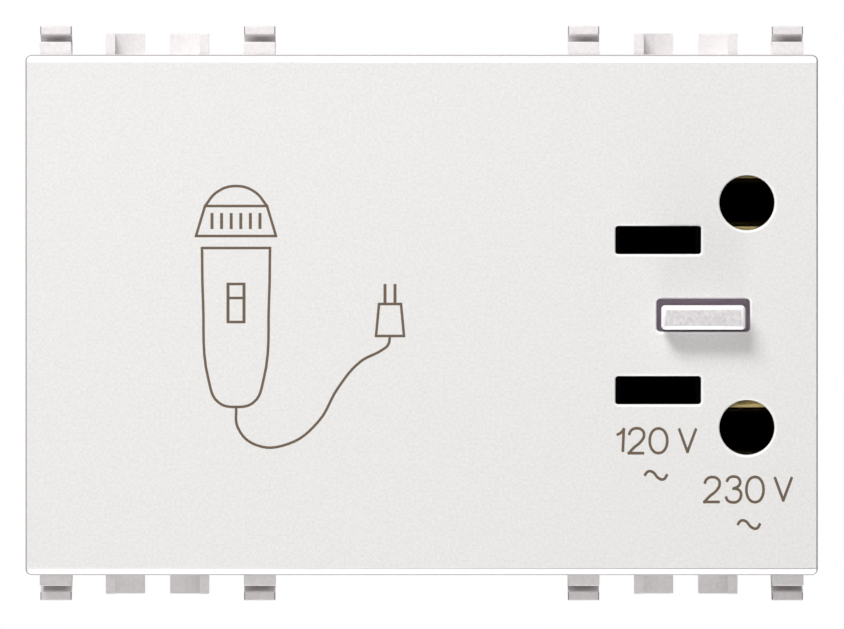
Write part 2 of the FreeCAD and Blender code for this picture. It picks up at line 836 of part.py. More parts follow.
def socket_carrier():
    """Dark inner moulding: cover plate of the tray, contact chambers, plunger guide."""
    body = new_body("socket_carrier")
    plate = front_sketch(body, "carrier_plate_outline", "carrier_back_y")
    rectangle(plate, "-carrier_x", "carrier_x", "-carrier_z", "carrier_z")
    pad(body, plate, "carrier_plate")

    block = front_sketch(body, "contact_block", "carrier_back_y - embed")
    polygon(block, block_corners("0"))
    pad(body, block, "carrier_depth + embed", back=True)

    bosses = front_sketch(body, "screw_bosses", "carrier_back_y - embed")
    for sx, sz in CORNERS:
        circle(bosses, sx + "post_x", sz + "post_z", "post_radius")
    pad(body, bosses, "boss_floor + embed", back=True)

    bars = front_sketch(body, "core_bars", "carrier_back_y - embed")
    for side in SIDES:
        middle = f"{side}(support_z - rib_wall / 2)"
        rectangle(
            bars,
            "core_left + lamination_unit / 2",
            "core_right - lamination_unit / 2",
            f"{middle} - rib_wall / 2",
            f"{middle} + rib_wall / 2",
        )
    pad(body, bars, "stack_front - pad_thick - carrier_back_y + embed", back=True)

    chambers = front_sketch(body, "contact_chambers", "carrier_end_y")
    for side, drop in (("", "0"), ("-", "common_jaw_drop")):
        middle = f"{side}(pin_z + {drop})"
        rectangle(
            chambers,
            "pin_x - pin_chamber_x",
            "pin_x + pin_chamber_x",
            f"{middle} - pin_chamber_z",
            f"{middle} + pin_chamber_z",
        )
        rectangle(
            chambers,
            "slot_x - blade_chamber_x",
            "slot_x + blade_chamber_x",
            f"{side}slot_z - blade_chamber_z",
            f"{side}slot_z + blade_chamber_z",
        )
    pocket(body, chambers, "carrier_depth", back=True)

    bridge = front_sketch(body, "bridge_recess", "carrier_end_y")
    half = "bridge_height / 2 + chamber_gap"
    rectangle(bridge, "slot_x", "pin_x", f"-bridge_z - ({half})", f"-bridge_z + {half}")
    pocket(body, bridge, "web_setback + strip + chamber_gap", back=True)

    switch = front_sketch(body, "switch_pocket", "carrier_end_y")
    rectangle(
        switch,
        "plunger_x - switch_length / 2 - slide_gap",
        "plunger_x + switch_length / 2 + slide_gap",
        "plunger_z - switch_height / 2 - slide_gap",
        "plunger_z + switch_height / 2 + slide_gap",
    )
    pocket(body, switch, "carrier_end_y - switch_front_y", back=True)

    spring = front_sketch(body, "spring_hole_outline", "switch_front_y")
    circle(spring, "plunger_x", "plunger_z", "spring_hole")
    pocket(body, spring, "switch_front_y - carrier_front_y", back=True)

    guide = front_sketch(body, "flange_guide", "carrier_front_y")
    rounded(
        guide,
        "plunger_x - flange_x - slide_gap",
        "plunger_x + flange_x + slide_gap",
        "plunger_z - flange_z - slide_gap",
        "plunger_z + flange_z + slide_gap",
        "bar_corner",
    )
    pocket(body, guide, "ledge_y - carrier_front_y")

    entries = front_sketch(body, "plug_entries", "carrier_front_y")
    for side in SIDES:
        circle(entries, "pin_x", side + "pin_z", "pin_hole_radius + lead_in")
        rounded(
            entries,
            "slot_x - slot_width / 2 - lead_in",
            "slot_x + slot_width / 2 + lead_in",
            f"{side}slot_z - slot_height / 2 - lead_in",
            f"{side}slot_z + slot_height / 2 + lead_in",
            "slot_corner",
        )
    pocket(body, entries, "carrier_plate + embed")

    heads = front_sketch(body, "head_recesses", "carrier_front_y")
    shanks = front_sketch(body, "shank_holes", "carrier_front_y")
    for sx, sz in CORNERS:
        circle(heads, sx + "post_x", sz + "post_z", "screw_head_radius + slide_gap")
        circle(shanks, sx + "post_x", sz + "post_z", "screw_radius + slide_gap")
    pocket(body, heads, "carrier_plate")
    pocket(body, shanks, "carrier_plate + boss_floor + cut_over")

    pegs = front_sketch(body, "retainer_pegs", "carrier_end_y - embed")
    for side in SIDES:
        circle(pegs, "peg_x", side + "peg_z", "peg_radius")
    pad(body, pegs, "retainer_plate + peg_proud + embed", back=True)


def carrier_screws():
    """Four equal slotted screws through the carrier into the corner posts."""
    screws = []
    top = "carrier_back_y - screw_head_height"
    for sx, sz in CORNERS:
        x, z = sx + "post_x", sz + "post_z"
        head = rod("screw_head", x, top, z, "screw_head_radius", "screw_head_height", "y")
        length = "embed + boss_floor + screw_length - screw_tip_gap"
        shank = rod("screw_shank", x, "carrier_back_y - embed", z, "screw_radius", length, "y")
        solid = DOC.addObject("Part::Fuse", "screw_blank")
        solid.Base = head
        solid.Tool = shank
        slot = prism(
            "screw_slot",
            f"{x} - screw_head_radius",
            top,
            f"{z} - grub_slot / 2",
            "screw_head_radius * 2",
            "screw_head_height / 2",
            "grub_slot",
        )
        screws.append(cut("screw", solid, slot))
    node(group("carrier_screws", screws), "carrier_screws")


def tab_places():
    """Middle of each tab that passes through the retainer: x, z and its two half sizes."""
    switch = [(f"plunger_x + {n} * switch_tab_pitch", "plunger_z") for n in (-1, 0, 1)]
    return switch + [("tab_x", "slot_z"), ("pin_x", "pin_z"), ("tab_x", "-slot_z")]


def contact_retainer():
    """Plate that closes the contact chambers and holds switch and terminals in their seats."""
    body = new_body("contact_retainer")
    plate = front_sketch(body, "retainer_outline", "retainer_back_y")
    polygon(plate, block_corners("slide_gap"))
    pad(body, plate, "retainer_plate")

    ribs = front_sketch(body, "switch_ribs", "retainer_back_y - embed")
    for side in ("-", "+"):
        middle = f"plunger_x {side} switch_rib_offset"
        rectangle(
            ribs,
            f"{middle} - switch_rib_width / 2",
            f"{middle} + switch_rib_width / 2",
            "plunger_z - switch_height / 2 + rib_wall / 2",
            "plunger_z + switch_height / 2 - rib_wall / 2",
        )
    pad(body, ribs, "retainer_back_y - embed - switch_back_y")

    legs = front_sketch(body, "terminal_legs", "retainer_back_y - embed")
    left, top = "block_step_x + leg_inset", "block_high_z - slide_gap"
    for side in SIDES:
        heights = ordered(side, f"{side}({top} - leg_height)", f"{side}({top})")
        rectangle(legs, left, f"{left} + leg_width", *heights)
    pad(body, legs, "terminal_front - retainer_back_y + embed", back=True)

    slots = front_sketch(body, "tab_slots", "retainer_back_y")
    for x, z in tab_places():
        half = "tab_width / 2 + tab_gap"
        thin = "strip / 2 + tab_gap"
        rectangle(slots, f"{x} - ({half})", f"{x} + {half}", f"{z} - ({thin})", f"{z} + {thin}")
    for side in SIDES:
        circle(slots, "peg_x", side + "peg_z", "peg_radius + button_gap")
    pocket(body, slots, "retainer_plate + cut_over", back=True)


# Contacts

def jaw_profile(sketch, front, middle, flare, pinch, span, web):
    """Closed outline of a strip bent into a U: flared mouth, pinch, straight leaves and web."""
    back = f"{web} + strip"
    half = [
        (front, flare),
        (f"{front} + pinch_depth", pinch),
        (f"{front} + relief_depth", span),
        (web, span),
    ]
    inner = [(y, f"{middle} + ({z})") for y, z in half]
    inner += [(y, f"{middle} - ({z})") for y, z in reversed(half)]
    half[-1] = (back, span)
    outer = [(y, f"{middle} - ({z}) - strip") for y, z in half]
    outer += [(y, f"{middle} + ({z}) + strip") for y, z in reversed(half)]
    polygon(sketch, inner + outer)


def pin_jaw(body, middle):
    """Jaw that grips a round pin."""
    profile = side_sketch(body, "pin_jaw_profile", "pin_x")
    jaw_profile(profile, "pin_jaw_y", middle, "pin_jaw_flare", "pin_jaw_pinch", "pin_jaw_body", "web_y")
    return pad(body, profile, "pin_jaw_width", middle=True)


def blade_jaw(body, middle):
    """Jaw that grips a flat blade."""
    profile = side_sketch(body, "blade_jaw_profile", "slot_x")
    jaw_profile(
        profile, "blade_jaw_y", middle, "blade_jaw_flare - strip / 2",
        "blade_jaw_pinch", "blade_jaw_body", "web_y",
    )
    return pad(body, profile, "blade_jaw_width", middle=True)


def tab(body, x, z):
    """Solder tab behind the web."""
    outline = front_sketch(body, "tab_outline", "web_y + strip / 2")
    rectangle(outline, f"{x} - tab_width / 2", f"{x} + tab_width / 2", f"{z} - strip / 2", f"{z} + strip / 2")
    return pad(body, outline, "tab_length + strip / 2", back=True)


def contact_120v():
    """Separate contact of the upper blade."""
    body = new_body("contact_120v")
    blade_jaw(body, "slot_z")
    tab(body, "tab_x", "slot_z")


def contact_230v():
    """Separate contact of the upper round pin."""
    body = new_body("contact_230v")
    pin_jaw(body, "pin_z")
    tab(body, "pin_x", "pin_z")


def common_contact():
    """One stamping with both lower jaws, joined by a bridge between their webs."""
    body = new_body("common_contact")
    blade_jaw(body, "-slot_z")
    pin_jaw(body, "common_pin_z")
    bridge = front_sketch(body, "bridge_outline", "web_y + strip")
    half = "bridge_height / 2"
    rectangle(
        bridge,
        "slot_x + blade_jaw_width / 2 - embed",
        "pin_x - pin_jaw_width / 2 + embed",
        f"-bridge_z - {half}",
        f"-bridge_z + {half}",
    )
    pad(body, bridge, "strip")
    tab(body, "tab_x", "-slot_z")


# Plunger, spring and switch

def plug_plunger():
    """Bar that a plug's face presses: bar, flange that stops it, stem to the switch."""
    body = new_body("plug_plunger")
    bar = front_sketch(body, "bar_outline", "flange_front_y + embed")
    rounded(
        bar,
        "plunger_x - bar_width / 2",
        "plunger_x + bar_width / 2",
        "plunger_z - bar_height / 2",
        "plunger_z + bar_height / 2",
        "bar_corner",
    )
    pad(body, bar, "flange_front_y + embed - face_y + bar_proud")
    front = value("face_y - bar_proud")
    dress("Chamfer", body, "bar_edge", lambda e, m: abs(m.y - front) < SAME)

    flange = front_sketch(body, "flange_outline", "flange_back_y")
    rounded(
        flange,
        "plunger_x - flange_x",
        "plunger_x + flange_x",
        "plunger_z - flange_z",
        "plunger_z + flange_z",
        "bar_corner",
    )
    pad(body, flange, "flange_thick")

    stem = front_sketch(body, "stem_outline", "flange_back_y - embed")
    circle(stem, "plunger_x", "plunger_z", "stem_radius")
    pad(body, stem, "stem_length + embed", back=True)


def plunger_spring():
    """Compression spring from the flange to the front of the switch case."""
    wire = value("spring_wire")
    lift = wire + value("spring_seat")
    length = value("switch_front_y - flange_back_y") - 2 * lift
    turns = value("spring_turns")
    radius = value("spring_radius")
    helix = Part.makeHelix(length / turns, length, radius)
    climb = math.atan2(length / turns, 2 * math.pi * radius)
    across, up = Vector(1, 0, 0), Vector(0, -math.sin(climb), math.cos(climb))
    steps = [2 * math.pi * step / WIRE_SIDES for step in range(WIRE_SIDES)]
    rim = [Vector(radius, 0, 0) + across * wire * math.cos(a) + up * wire * math.sin(a) for a in steps]
    section = Part.makePolygon(rim + rim[:1])
    coil = Part.Wire(helix).makePipeShell([section], True, True)
    thing = DOC.addObject("Part::Feature", "plunger_spring")
    thing.Shape = coil
    place = Vector(value("plunger_x"), value("flange_back_y") + lift, value("plunger_z"))
    thing.Placement = Placement(place, Rotation(Vector(1, 0, 0), -90))
    node(thing, "plunger_spring")


def switch_parts():
    """Snap switch: case with a bore, its button, and three equal tabs."""
    case = new_body("switch_case")
    outline = front_sketch(case, "case_outline", "switch_back_y")
    rectangle(
        outline,
        "plunger_x - switch_length / 2",
        "plunger_x + switch_length / 2",
        "plunger_z - switch_height / 2",
        "plunger_z + switch_height / 2",
    )
    pad(case, outline, "switch_depth")
    dress("Chamfer", case, "switch_edge", lambda e, m: abs(m.y - value("switch_back_y")) < SAME)
    bore = front_sketch(case, "button_bore", "switch_front_y")
    circle(bore, "plunger_x", "plunger_z", "button_radius + button_gap")
    pocket(case, bore, "button_hidden + bar_proud + slide_gap")

    button = rod(
        "button_rod", "plunger_x", "button_top_y", "plunger_z",
        "button_radius", "button_end_y - button_top_y", "y",
    )
    node(button, "switch_button")

    tabs = []
    for n in (-1, 0, 1):
        tabs.append(prism(
            "switch_tab",
            f"plunger_x + {n} * switch_tab_pitch - tab_width / 2",
            "switch_back_y",
            "plunger_z - strip / 2",
            "tab_width",
            "switch_tab_length",
            "strip",
        ))
    node(group("switch_terminals", tabs), "switch_terminals")


# Transformer

def core_stacks():
    """E and I lamination stacks, each pressed together to one block."""
    body = new_body("core_e_stack")
    outline = front_sketch(body, "e_outline", "stack_back")
    left, right = "core_left", "core_right"
    polygon(outline, [
        (left, "core_low"),
        (right, "core_low"),
        (right, "window_z"),
        (f"{right} - lamination_unit", "window_z"),
        (f"{right} - lamination_unit", "-window_z"),
        ("core_x + lamination_unit", "-window_z"),
        ("core_x + lamination_unit", "window_z"),
        ("core_x - lamination_unit", "window_z"),
        ("core_x - lamination_unit", "-window_z"),
        (f"{left} + lamination_unit", "-window_z"),
        (f"{left} + lamination_unit", "window_z"),
        (left, "window_z"),
    ])
    pad(body, outline, "stack_depth")

    bar = prism(
        "i_bar", left, "stack_front", "window_z",
        "6 * lamination_unit", "stack_depth", "lamination_unit",
    )
    node(bar, "core_i_stack")


def core_pads():
    """Foam strips between the bars of the carrier and the core."""
    for label, side in (("core_pad_upper", ""), ("core_pad_lower", "-")):
        strip = prism(
            label + "_strip",
            "core_left + lamination_unit / 2",
            "stack_front - pad_thick",
            f"{side}(support_z - rib_wall / 2) - pad_height / 2",
            "5 * lamination_unit",
            "pad_thick",
            "pad_height",
        )
        node(strip, label)


def ring_pad(body, name, low, high, half, front, back, bore_half, bore_front, bore_back, corner=None):
    """Rectangular ring round the middle leg between two heights."""
    outline = plan_sketch(body, name, low)
    left, right = f"core_x - {half}", f"core_x + {half}"
    if corner:
        rounded(outline, left, right, front, back, corner)
    else:
        rectangle(outline, left, right, front, back)
    rectangle(outline, f"core_x - {bore_half}", f"core_x + {bore_half}", bore_front, bore_back)
    return pad(body, outline, f"({high}) - ({low})")


def bobbin():
    """Split bobbin: tube, two end flanges and the divider between the windings."""
    body = new_body("bobbin")
    bore = ("tube_x", "tube_front", "tube_back")
    tube = ("(tube_x + bobbin_wall)", "tube_front - bobbin_wall", "tube_back + bobbin_wall")
    flange = ("flange_half", "tape_front", "tape_back")
    ring_pad(body, "tube_ring", "-bobbin_z", "bobbin_z", *tube, *bore)
    for low, high in (
        ("-bobbin_z", "-room_z"),
        ("-bobbin_wall / 2", "bobbin_wall / 2"),
        ("room_z", "bobbin_z"),
    ):
        ring_pad(body, "flange_ring", low, high, *flange, *bore)


def windings():
    """Both windings and their tapes, one above and one below the divider."""
    bore = ("winding_bore", "winding_front", "winding_back")
    coil = ("winding_x", "winding_front - winding_build", "winding_back + winding_build")
    over = ("(winding_x + winding_gap)", "tape_front + tape_thick", "tape_back - tape_thick")
    tape = ("tape_x", "tape_front", "tape_back")
    low, high = "(bobbin_wall / 2 + winding_gap)", "(room_z - winding_gap)"
    for label, ends in (
        ("primary", (f"-{high}", f"-{low}")),
        ("secondary", (low, high)),
    ):
        body = new_body(label + "_winding")
        ring_pad(body, "coil_ring", *ends, *coil, *bore, corner="winding_corner")
        body = new_body(label + "_tape")
        outline = plan_sketch(body, "tape_ring", ends[0])
        corners = (tape, "winding_corner + winding_gap + tape_thick"), (over, "winding_corner + winding_gap")
        for (half, front, back), corner in corners:
            rounded(outline, f"core_x - {half}", f"core_x + {half}", front, back, corner)
        pad(body, outline, f"{ends[1]} - ({ends[0]})")


def pin_place(number):
    """Middle of a bobbin pin in its stepped row: x and y."""
    return f"pin_row_x - {number} * pin_step", f"pin_row_y + {number} * pin_row_step"


def bobbin_pins():
    """Square pins on the outer faces of both flanges: three secondary, two primary."""
    pins = []
    for upper, numbers in ((True, (0, 1, 2)), (False, (0, 2))):
        for number in numbers:
            x, y = pin_place(number)
            low = "bobbin_z" if upper else "-bobbin_z - pin_length"
            pins.append(prism(
                "bobbin_pin", f"{x} - pin_side / 2", f"{y} - pin_side / 2", low,
                "pin_side", "pin_side", "pin_length",
            ))
    node(group("bobbin_pins", pins), "bobbin_pins")


def thermistor_disc():
    """Overload disc bonded to the back of the tape."""
    disc = rod("disc", "core_x", "tape_back", "0", "disc_radius", "disc_thick", "y")
    node(disc, "thermistor_disc")


# Terminals

def terminal(name, sign):
    """Pillar terminal: block with a wire hole along Y and a threaded hole for its screw."""
    block = prism(
        name + "_blank",
        "plunger_x - terminal_width / 2",
        "terminal_front",
        f"{sign}terminal_z - terminal_height / 2",
        "terminal_width",
        "terminal_depth",
        "terminal_height",
    )
    bore = rod(
        name + "_wire_hole", "plunger_x", "terminal_front - cut_over", f"{sign}wire_z",
        "wire_hole_radius", "terminal_depth + 2 * cut_over", "y",
    )
    low = "-terminal_out - cut_over" if sign else "wire_z"
    thread = rod(
        name + "_thread", "plunger_x", "terminal_y", low,
        "grub_radius + thread_gap", "terminal_out + cut_over - wire_z", "z",
    )
    block = cut(name + "_bored", block, bore)
    block = cut(name + "_tapped", block, thread)
    DOC.recompute()
    corners = DOC.addObject("Part::Chamfer", name)
    corners.Base = block
    size = value("terminal_edge")
    inner_x = value("terminal_width") / 2 - SAME
    upright = [
        (index, size, size)
        for index, edge in enumerate(block.Shape.Edges, start=1)
        if edge.BoundBox.XLength < NOTHING
        and edge.BoundBox.YLength < NOTHING
        and abs(edge.BoundBox.Center.x - value("plunger_x")) > inner_x
    ]
    corners.Edges = upright
    node(corners, name)


def terminal_screw(name, sign):
    """Slotted grub screw, its end just clear of the wire hole when slack."""
    low = "-grub_end - grub_length" if sign else "grub_end"
    shank = rod(name + "_shank", "plunger_x", "terminal_y", low, "grub_radius", "grub_length", "z")
    top = "grub_end + grub_length"
    slot_low = f"-({top}) - cut_over" if sign else f"{top} - grub_slot_depth"
    slot = prism(
        name + "_slot", "plunger_x - grub_radius - cut_over", "terminal_y - grub_slot / 2", slot_low,
        "2 * (grub_radius + cut_over)", "grub_slot", "grub_slot_depth + cut_over",
    )
    node(cut(name, shank, slot), name)


# Leads

def lead(name, points):
    """Insulated lead: straight runs joined by tangent arcs as large as the runs allow."""
    corners = [Vector(*(value(c) for c in point)) for point in points]
    share = value("bend_share")
    edges = []
    radii = []
    start = corners[0]
    for before, corner, after in zip(corners, corners[1:], corners[2:]):
        way_in = (corner - before).normalize()
        way_out = (after - corner).normalize()
        turn = way_in.getAngle(way_out)
        reach = share * min((corner - before).Length, (after - corner).Length)
        radii.append(reach / math.tan(turn / 2))
        first, last = corner - way_in * reach, corner + way_out * reach
        bisector = (way_out - way_in).normalize()
        middle = corner + bisector * (radii[-1] / math.cos(turn / 2) - radii[-1])
        edges.append(Part.LineSegment(start, first).toShape())
        edges.append(Part.Arc(first, middle, last).toShape())
        start = last
    edges.append(Part.LineSegment(start, corners[-1]).toShape())
    spine = Part.Wire(edges)
    radius = value("lead_radius")
    section = Part.Wire(Part.makeCircle(radius, corners[0], corners[1] - corners[0]))
    tube = spine.makePipeShell([section], True, True)
    wanted = math.pi * radius ** 2 * spine.Length
    if abs(tube.Volume - wanted) > 0.01 * wanted:
        raise RuntimeError(f"{name}: volume {tube.Volume:.2f}, section times length {wanted:.2f}")
    print(name, "length", round(spine.Length, 1), "radii", [round(r, 1) for r in radii])
    thing = DOC.addObject("Part::Feature", name)
    thing.Shape = tube
    thing.Placement = Placement()
    node(thing, name)


def leads():
    """The seven leads between terminals, switch, protection disc, bobbin pins and contacts."""
    row = [pin_place(number) for number in (0, 1, 2)]
    pin_right = [f"{x} + pin_side / 2" for x, _ in row]
    column = [f"block_left - column_setback + {number} * column_step" for number in (0, 1, 2)]
    upper, lower = "lead_z", "-lead_z"
    beside = "block_left - lead_gap"
    neutral_x = "plunger_x - neutral_shift"
    line_z = "terminal_in + lead_radius + pocket_gap"
    switch_x = "plunger_x - switch_tab_pitch"

    lead("lead_120v", [
        (pin_right[0], row[0][1], upper),
        (column[0], row[0][1], upper),
        (column[0], "terminal_front - fall_120v", upper),
        ("tab_x", "terminal_front - tab_fall_120v", "slot_z"),
        ("tab_x", "tab_end_y", "slot_z"),
    ])
    lead("lead_230v", [
        (pin_right[1], row[1][1], upper),
        (column[1], row[1][1], upper),
        (column[1], "terminal_front - lead_radius", upper),
        ("tab_x + tab_width / 2", "bend_y", "lead_z + lead_radius"),
        ("pin_x", "bend_y", "pin_z"),
        ("pin_x", "tab_end_y", "pin_z"),
    ])
    lead("lead_common", [
        (pin_right[2], row[2][1], upper),
        (column[2], row[2][1], upper),
        (column[2], "terminal_front + lead_radius", "slot_z + lead_radius"),
        (column[2], "terminal_front", "-slot_z / 2"),
        ("tab_x", "terminal_front - tab_fall_common", "-slot_z"),
        ("tab_x", "tab_end_y", "-slot_z"),
    ])
    lead("lead_neutral", [
        (neutral_x, "terminal_front", lower),
        (neutral_x, "bend_y", lower),
        (beside, "bend_y", lower),
        (beside, row[0][1], lower),
        (pin_right[0], row[0][1], lower),
    ])
    lead("lead_line_to_switch", [
        ("plunger_x", "terminal_front", line_z),
        ("plunger_x", "bend_y", line_z),
        ("plunger_x", "bend_y", "plunger_z"),
        ("plunger_x", "switch_tab_end", "plunger_z"),
    ])
    lead("lead_switch_to_thermistor", [
        (switch_x, "switch_tab_end", "plunger_z"),
        (switch_x, "disc_y - disc_approach", "plunger_z"),
        (f"{switch_x} - disc_approach", "disc_y", "plunger_z"),
        ("core_x + disc_radius", "disc_y", "plunger_z"),
    ])
    lead("lead_thermistor_to_primary", [
        ("core_x", "disc_y", "-disc_radius"),
        ("core_x", "disc_y", lower),
        ("core_x", f"{row[2][1]} + pin_side / 2", lower),
    ])


# Export

def check_document():
    """Merge split faces at each body's tip, then stop if anything failed or has no valid shape."""
    for thing in NODES:
        if thing.TypeId == "PartDesign::Body":
            thing.Tip.Refine = True
    DOC.recompute()
    for thing in DOC.Objects:
        if "Invalid" in thing.State or "Error" in thing.State:
            raise RuntimeError(f"{thing.Label} did not build: {thing.State}")
    for thing in NODES:
        if thing.Shape.isNull() or not thing.Shape.isValid() or not thing.Shape.Solids:
            raise RuntimeError(f"{thing.Label} has no valid shape")


def export_nodes():
    """Write each sub-part to its own file."""
    os.makedirs("parts", exist_ok=True)
    for thing in NODES:
        thing.Shape.exportStep(f"parts/{thing.Label}.step")
        print(thing.Label, "solids", len(thing.Shape.Solids), "volume", round(thing.Shape.Volume, 1))


fill_sheet("sizes", SIZES, as_formula=False)
fill_sheet("places", PLACES, as_formula=True)
front_cover()
rear_housing()
socket_carrier()
carrier_screws()
contact_retainer()
contact_120v()
contact_230v()
common_contact()
plug_plunger()
plunger_spring()
switch_parts()
core_stacks()
core_pads()
bobbin()
windings()
bobbin_pins()
thermistor_disc()
terminal("terminal_line", "")
terminal("terminal_neutral", "-")
terminal_screw("line_screw", "")
terminal_screw("neutral_screw", "-")
leads()
check_document()
export_nodes()
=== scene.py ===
"""Dress of a three-module shaver supply socket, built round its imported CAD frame.

Every length is in metres in the row frame: +X to the right seen from the front, +Y into the
wall, +Z up, with the origin in the middle of the seat plane.
"""

import logging
import math
from collections.abc import Callable, Sequence
from dataclasses import dataclass
from enum import Enum

import bmesh
import bpy
from mathutils import Matrix, Vector

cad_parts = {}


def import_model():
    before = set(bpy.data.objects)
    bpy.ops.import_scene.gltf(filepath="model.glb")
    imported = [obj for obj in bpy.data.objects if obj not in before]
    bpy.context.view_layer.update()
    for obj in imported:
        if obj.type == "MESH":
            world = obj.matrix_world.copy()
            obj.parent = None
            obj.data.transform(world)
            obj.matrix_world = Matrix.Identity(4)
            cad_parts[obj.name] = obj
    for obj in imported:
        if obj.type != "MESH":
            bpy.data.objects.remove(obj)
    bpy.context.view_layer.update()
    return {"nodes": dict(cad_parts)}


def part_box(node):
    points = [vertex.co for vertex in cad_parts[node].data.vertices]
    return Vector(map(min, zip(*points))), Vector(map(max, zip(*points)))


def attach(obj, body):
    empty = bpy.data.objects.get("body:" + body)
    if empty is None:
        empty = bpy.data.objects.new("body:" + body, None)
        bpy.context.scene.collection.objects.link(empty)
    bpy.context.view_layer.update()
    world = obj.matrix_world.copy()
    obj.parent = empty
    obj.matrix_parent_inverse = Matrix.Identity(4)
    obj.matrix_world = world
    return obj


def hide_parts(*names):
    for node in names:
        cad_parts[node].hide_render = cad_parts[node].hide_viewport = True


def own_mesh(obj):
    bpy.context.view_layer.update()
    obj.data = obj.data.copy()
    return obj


LOG = logging.getLogger("shaver_socket")
MM = 0.001

# Corners closer than a weld join, on CAD copies and on drawn lines. An edge at one depth, and a
# corner on a cut, may be off by the other two distances.
WELD = 0.0005 * MM
LINE_WELD = 0.00005 * MM
SAME_DEPTH = 0.01 * MM
CUT_REACH = 0.001 * MM

# Below the first angle faces join, above the second an edge can be rounded, and above the third
# it shades sharp.
FLAT_ANGLE = math.radians(0.4)
ROUNDED_ANGLE = math.radians(20)
SHARP_ANGLE = math.radians(32)

# Steps round a disc, round a block's corner and along and across a drawn line.
DISC_STEPS = 48
CORNER_STEPS = 5
LINE_STEPS = 6
LINE_SIDES = 1

# The photo frame in pixels: its size, its scale and the plate's middle.
PHOTO = (844, 629)
PIXELS_PER_MM = 11.83
PLATE_MIDDLE = (421.65, 315.2)

# Scale at which the wave texture repeats once a metre, the pitches that one band spans, and what
# shapes the textures.
BAND_SCALE = math.tau / 20
BAND_PITCHES = 3.2
BAND_DISTORTION = 0.2
ROLLED_STRETCH = (0.2, 0.12, 1.0)
NOISE_DETAIL = 3.0
NOISE_ROUGHNESS = 0.6

# Inputs of a background or an emission that the camera sees as white.
PURE_WHITE = {"Color": (1.0, 1.0, 1.0, 1.0), "Strength": 1.0}

Colour = tuple[float, float, float]
Place = tuple[float, float, float]
Point = tuple[float, float, bool]
Tree = bpy.types.NodeTree
Socket = bpy.types.NodeSocket
Edge = bmesh.types.BMEdge
Face = bmesh.types.BMFace
EdgeTest = Callable[[Edge], bool]
FaceTest = Callable[[Face], bool]


def add_node(
    tree: Tree,
    kind: str,
    inputs: dict[str | int, object] | None = None,
    **settings: str,
) -> bpy.types.Node:
    """Add a shader node.

    Args:
        tree: Node tree that it joins.
        kind: Its type.
        inputs: Values of its inputs, or the sockets that feed them.
        settings: Its other properties.

    Returns:
        The new node.
    """
    node = tree.nodes.new(kind)
    for name, value in settings.items():
        setattr(node, name, value)
    for name, value in (inputs or {}).items():
        if isinstance(value, Socket):
            tree.links.new(value, node.inputs[name])
        else:
            node.inputs[name].default_value = value
    return node


def add_object(name: str, data: bpy.types.ID) -> bpy.types.Object:
    """Put a new object into the scene."""
    made = bpy.data.objects.new(name, data)
    bpy.context.scene.collection.objects.link(made)
    return made


def evaluated_mesh(made: bpy.types.Object) -> bpy.types.Mesh:
    """Copy of the mesh that an object's modifiers or curve settings give."""
    bpy.context.view_layer.update()
    depsgraph = bpy.context.evaluated_depsgraph_get()
    return bpy.data.meshes.new_from_object(made.evaluated_get(depsgraph))


class Grain(Enum):
    """Surface patterns that a finish can carry."""

    FINE = "fine irregular grain"
    ROLLED = "rolled strip"
    SHEETS = "stacked sheets"
    TURNS = "turns of wire"


@dataclass(frozen=True)
class DepthShade:
    """Painted shade that darkens a finish deep inside the socket, where no light gets.

    Attributes:
        start: Depth at which it begins.
        end: Depth from which it is complete.
        colour: Linear colour of the painted shade there.
        roughness: Roughness there.
    """

    start: float
    end: float
    colour: Colour
    roughness: float

    def share(self, tree: Tree) -> Socket:
        """Add nodes that tell how deep a point lies in the socket.

        Args:
            tree: Node tree of the material.

        Returns:
            Socket that is 0 before the start and 1 beyond the end.
        """
        place = add_node(tree, "ShaderNodeTexCoord").outputs["Object"]
        apart = add_node(tree, "ShaderNodeSeparateXYZ", {"Vector": place})
        inputs = {"Value": apart.outputs["Y"], "From Min": self.start, "From Max": self.end}
        depth = add_node(tree, "ShaderNodeMapRange", inputs, interpolation_type="SMOOTHSTEP")
        return depth.outputs["Result"]


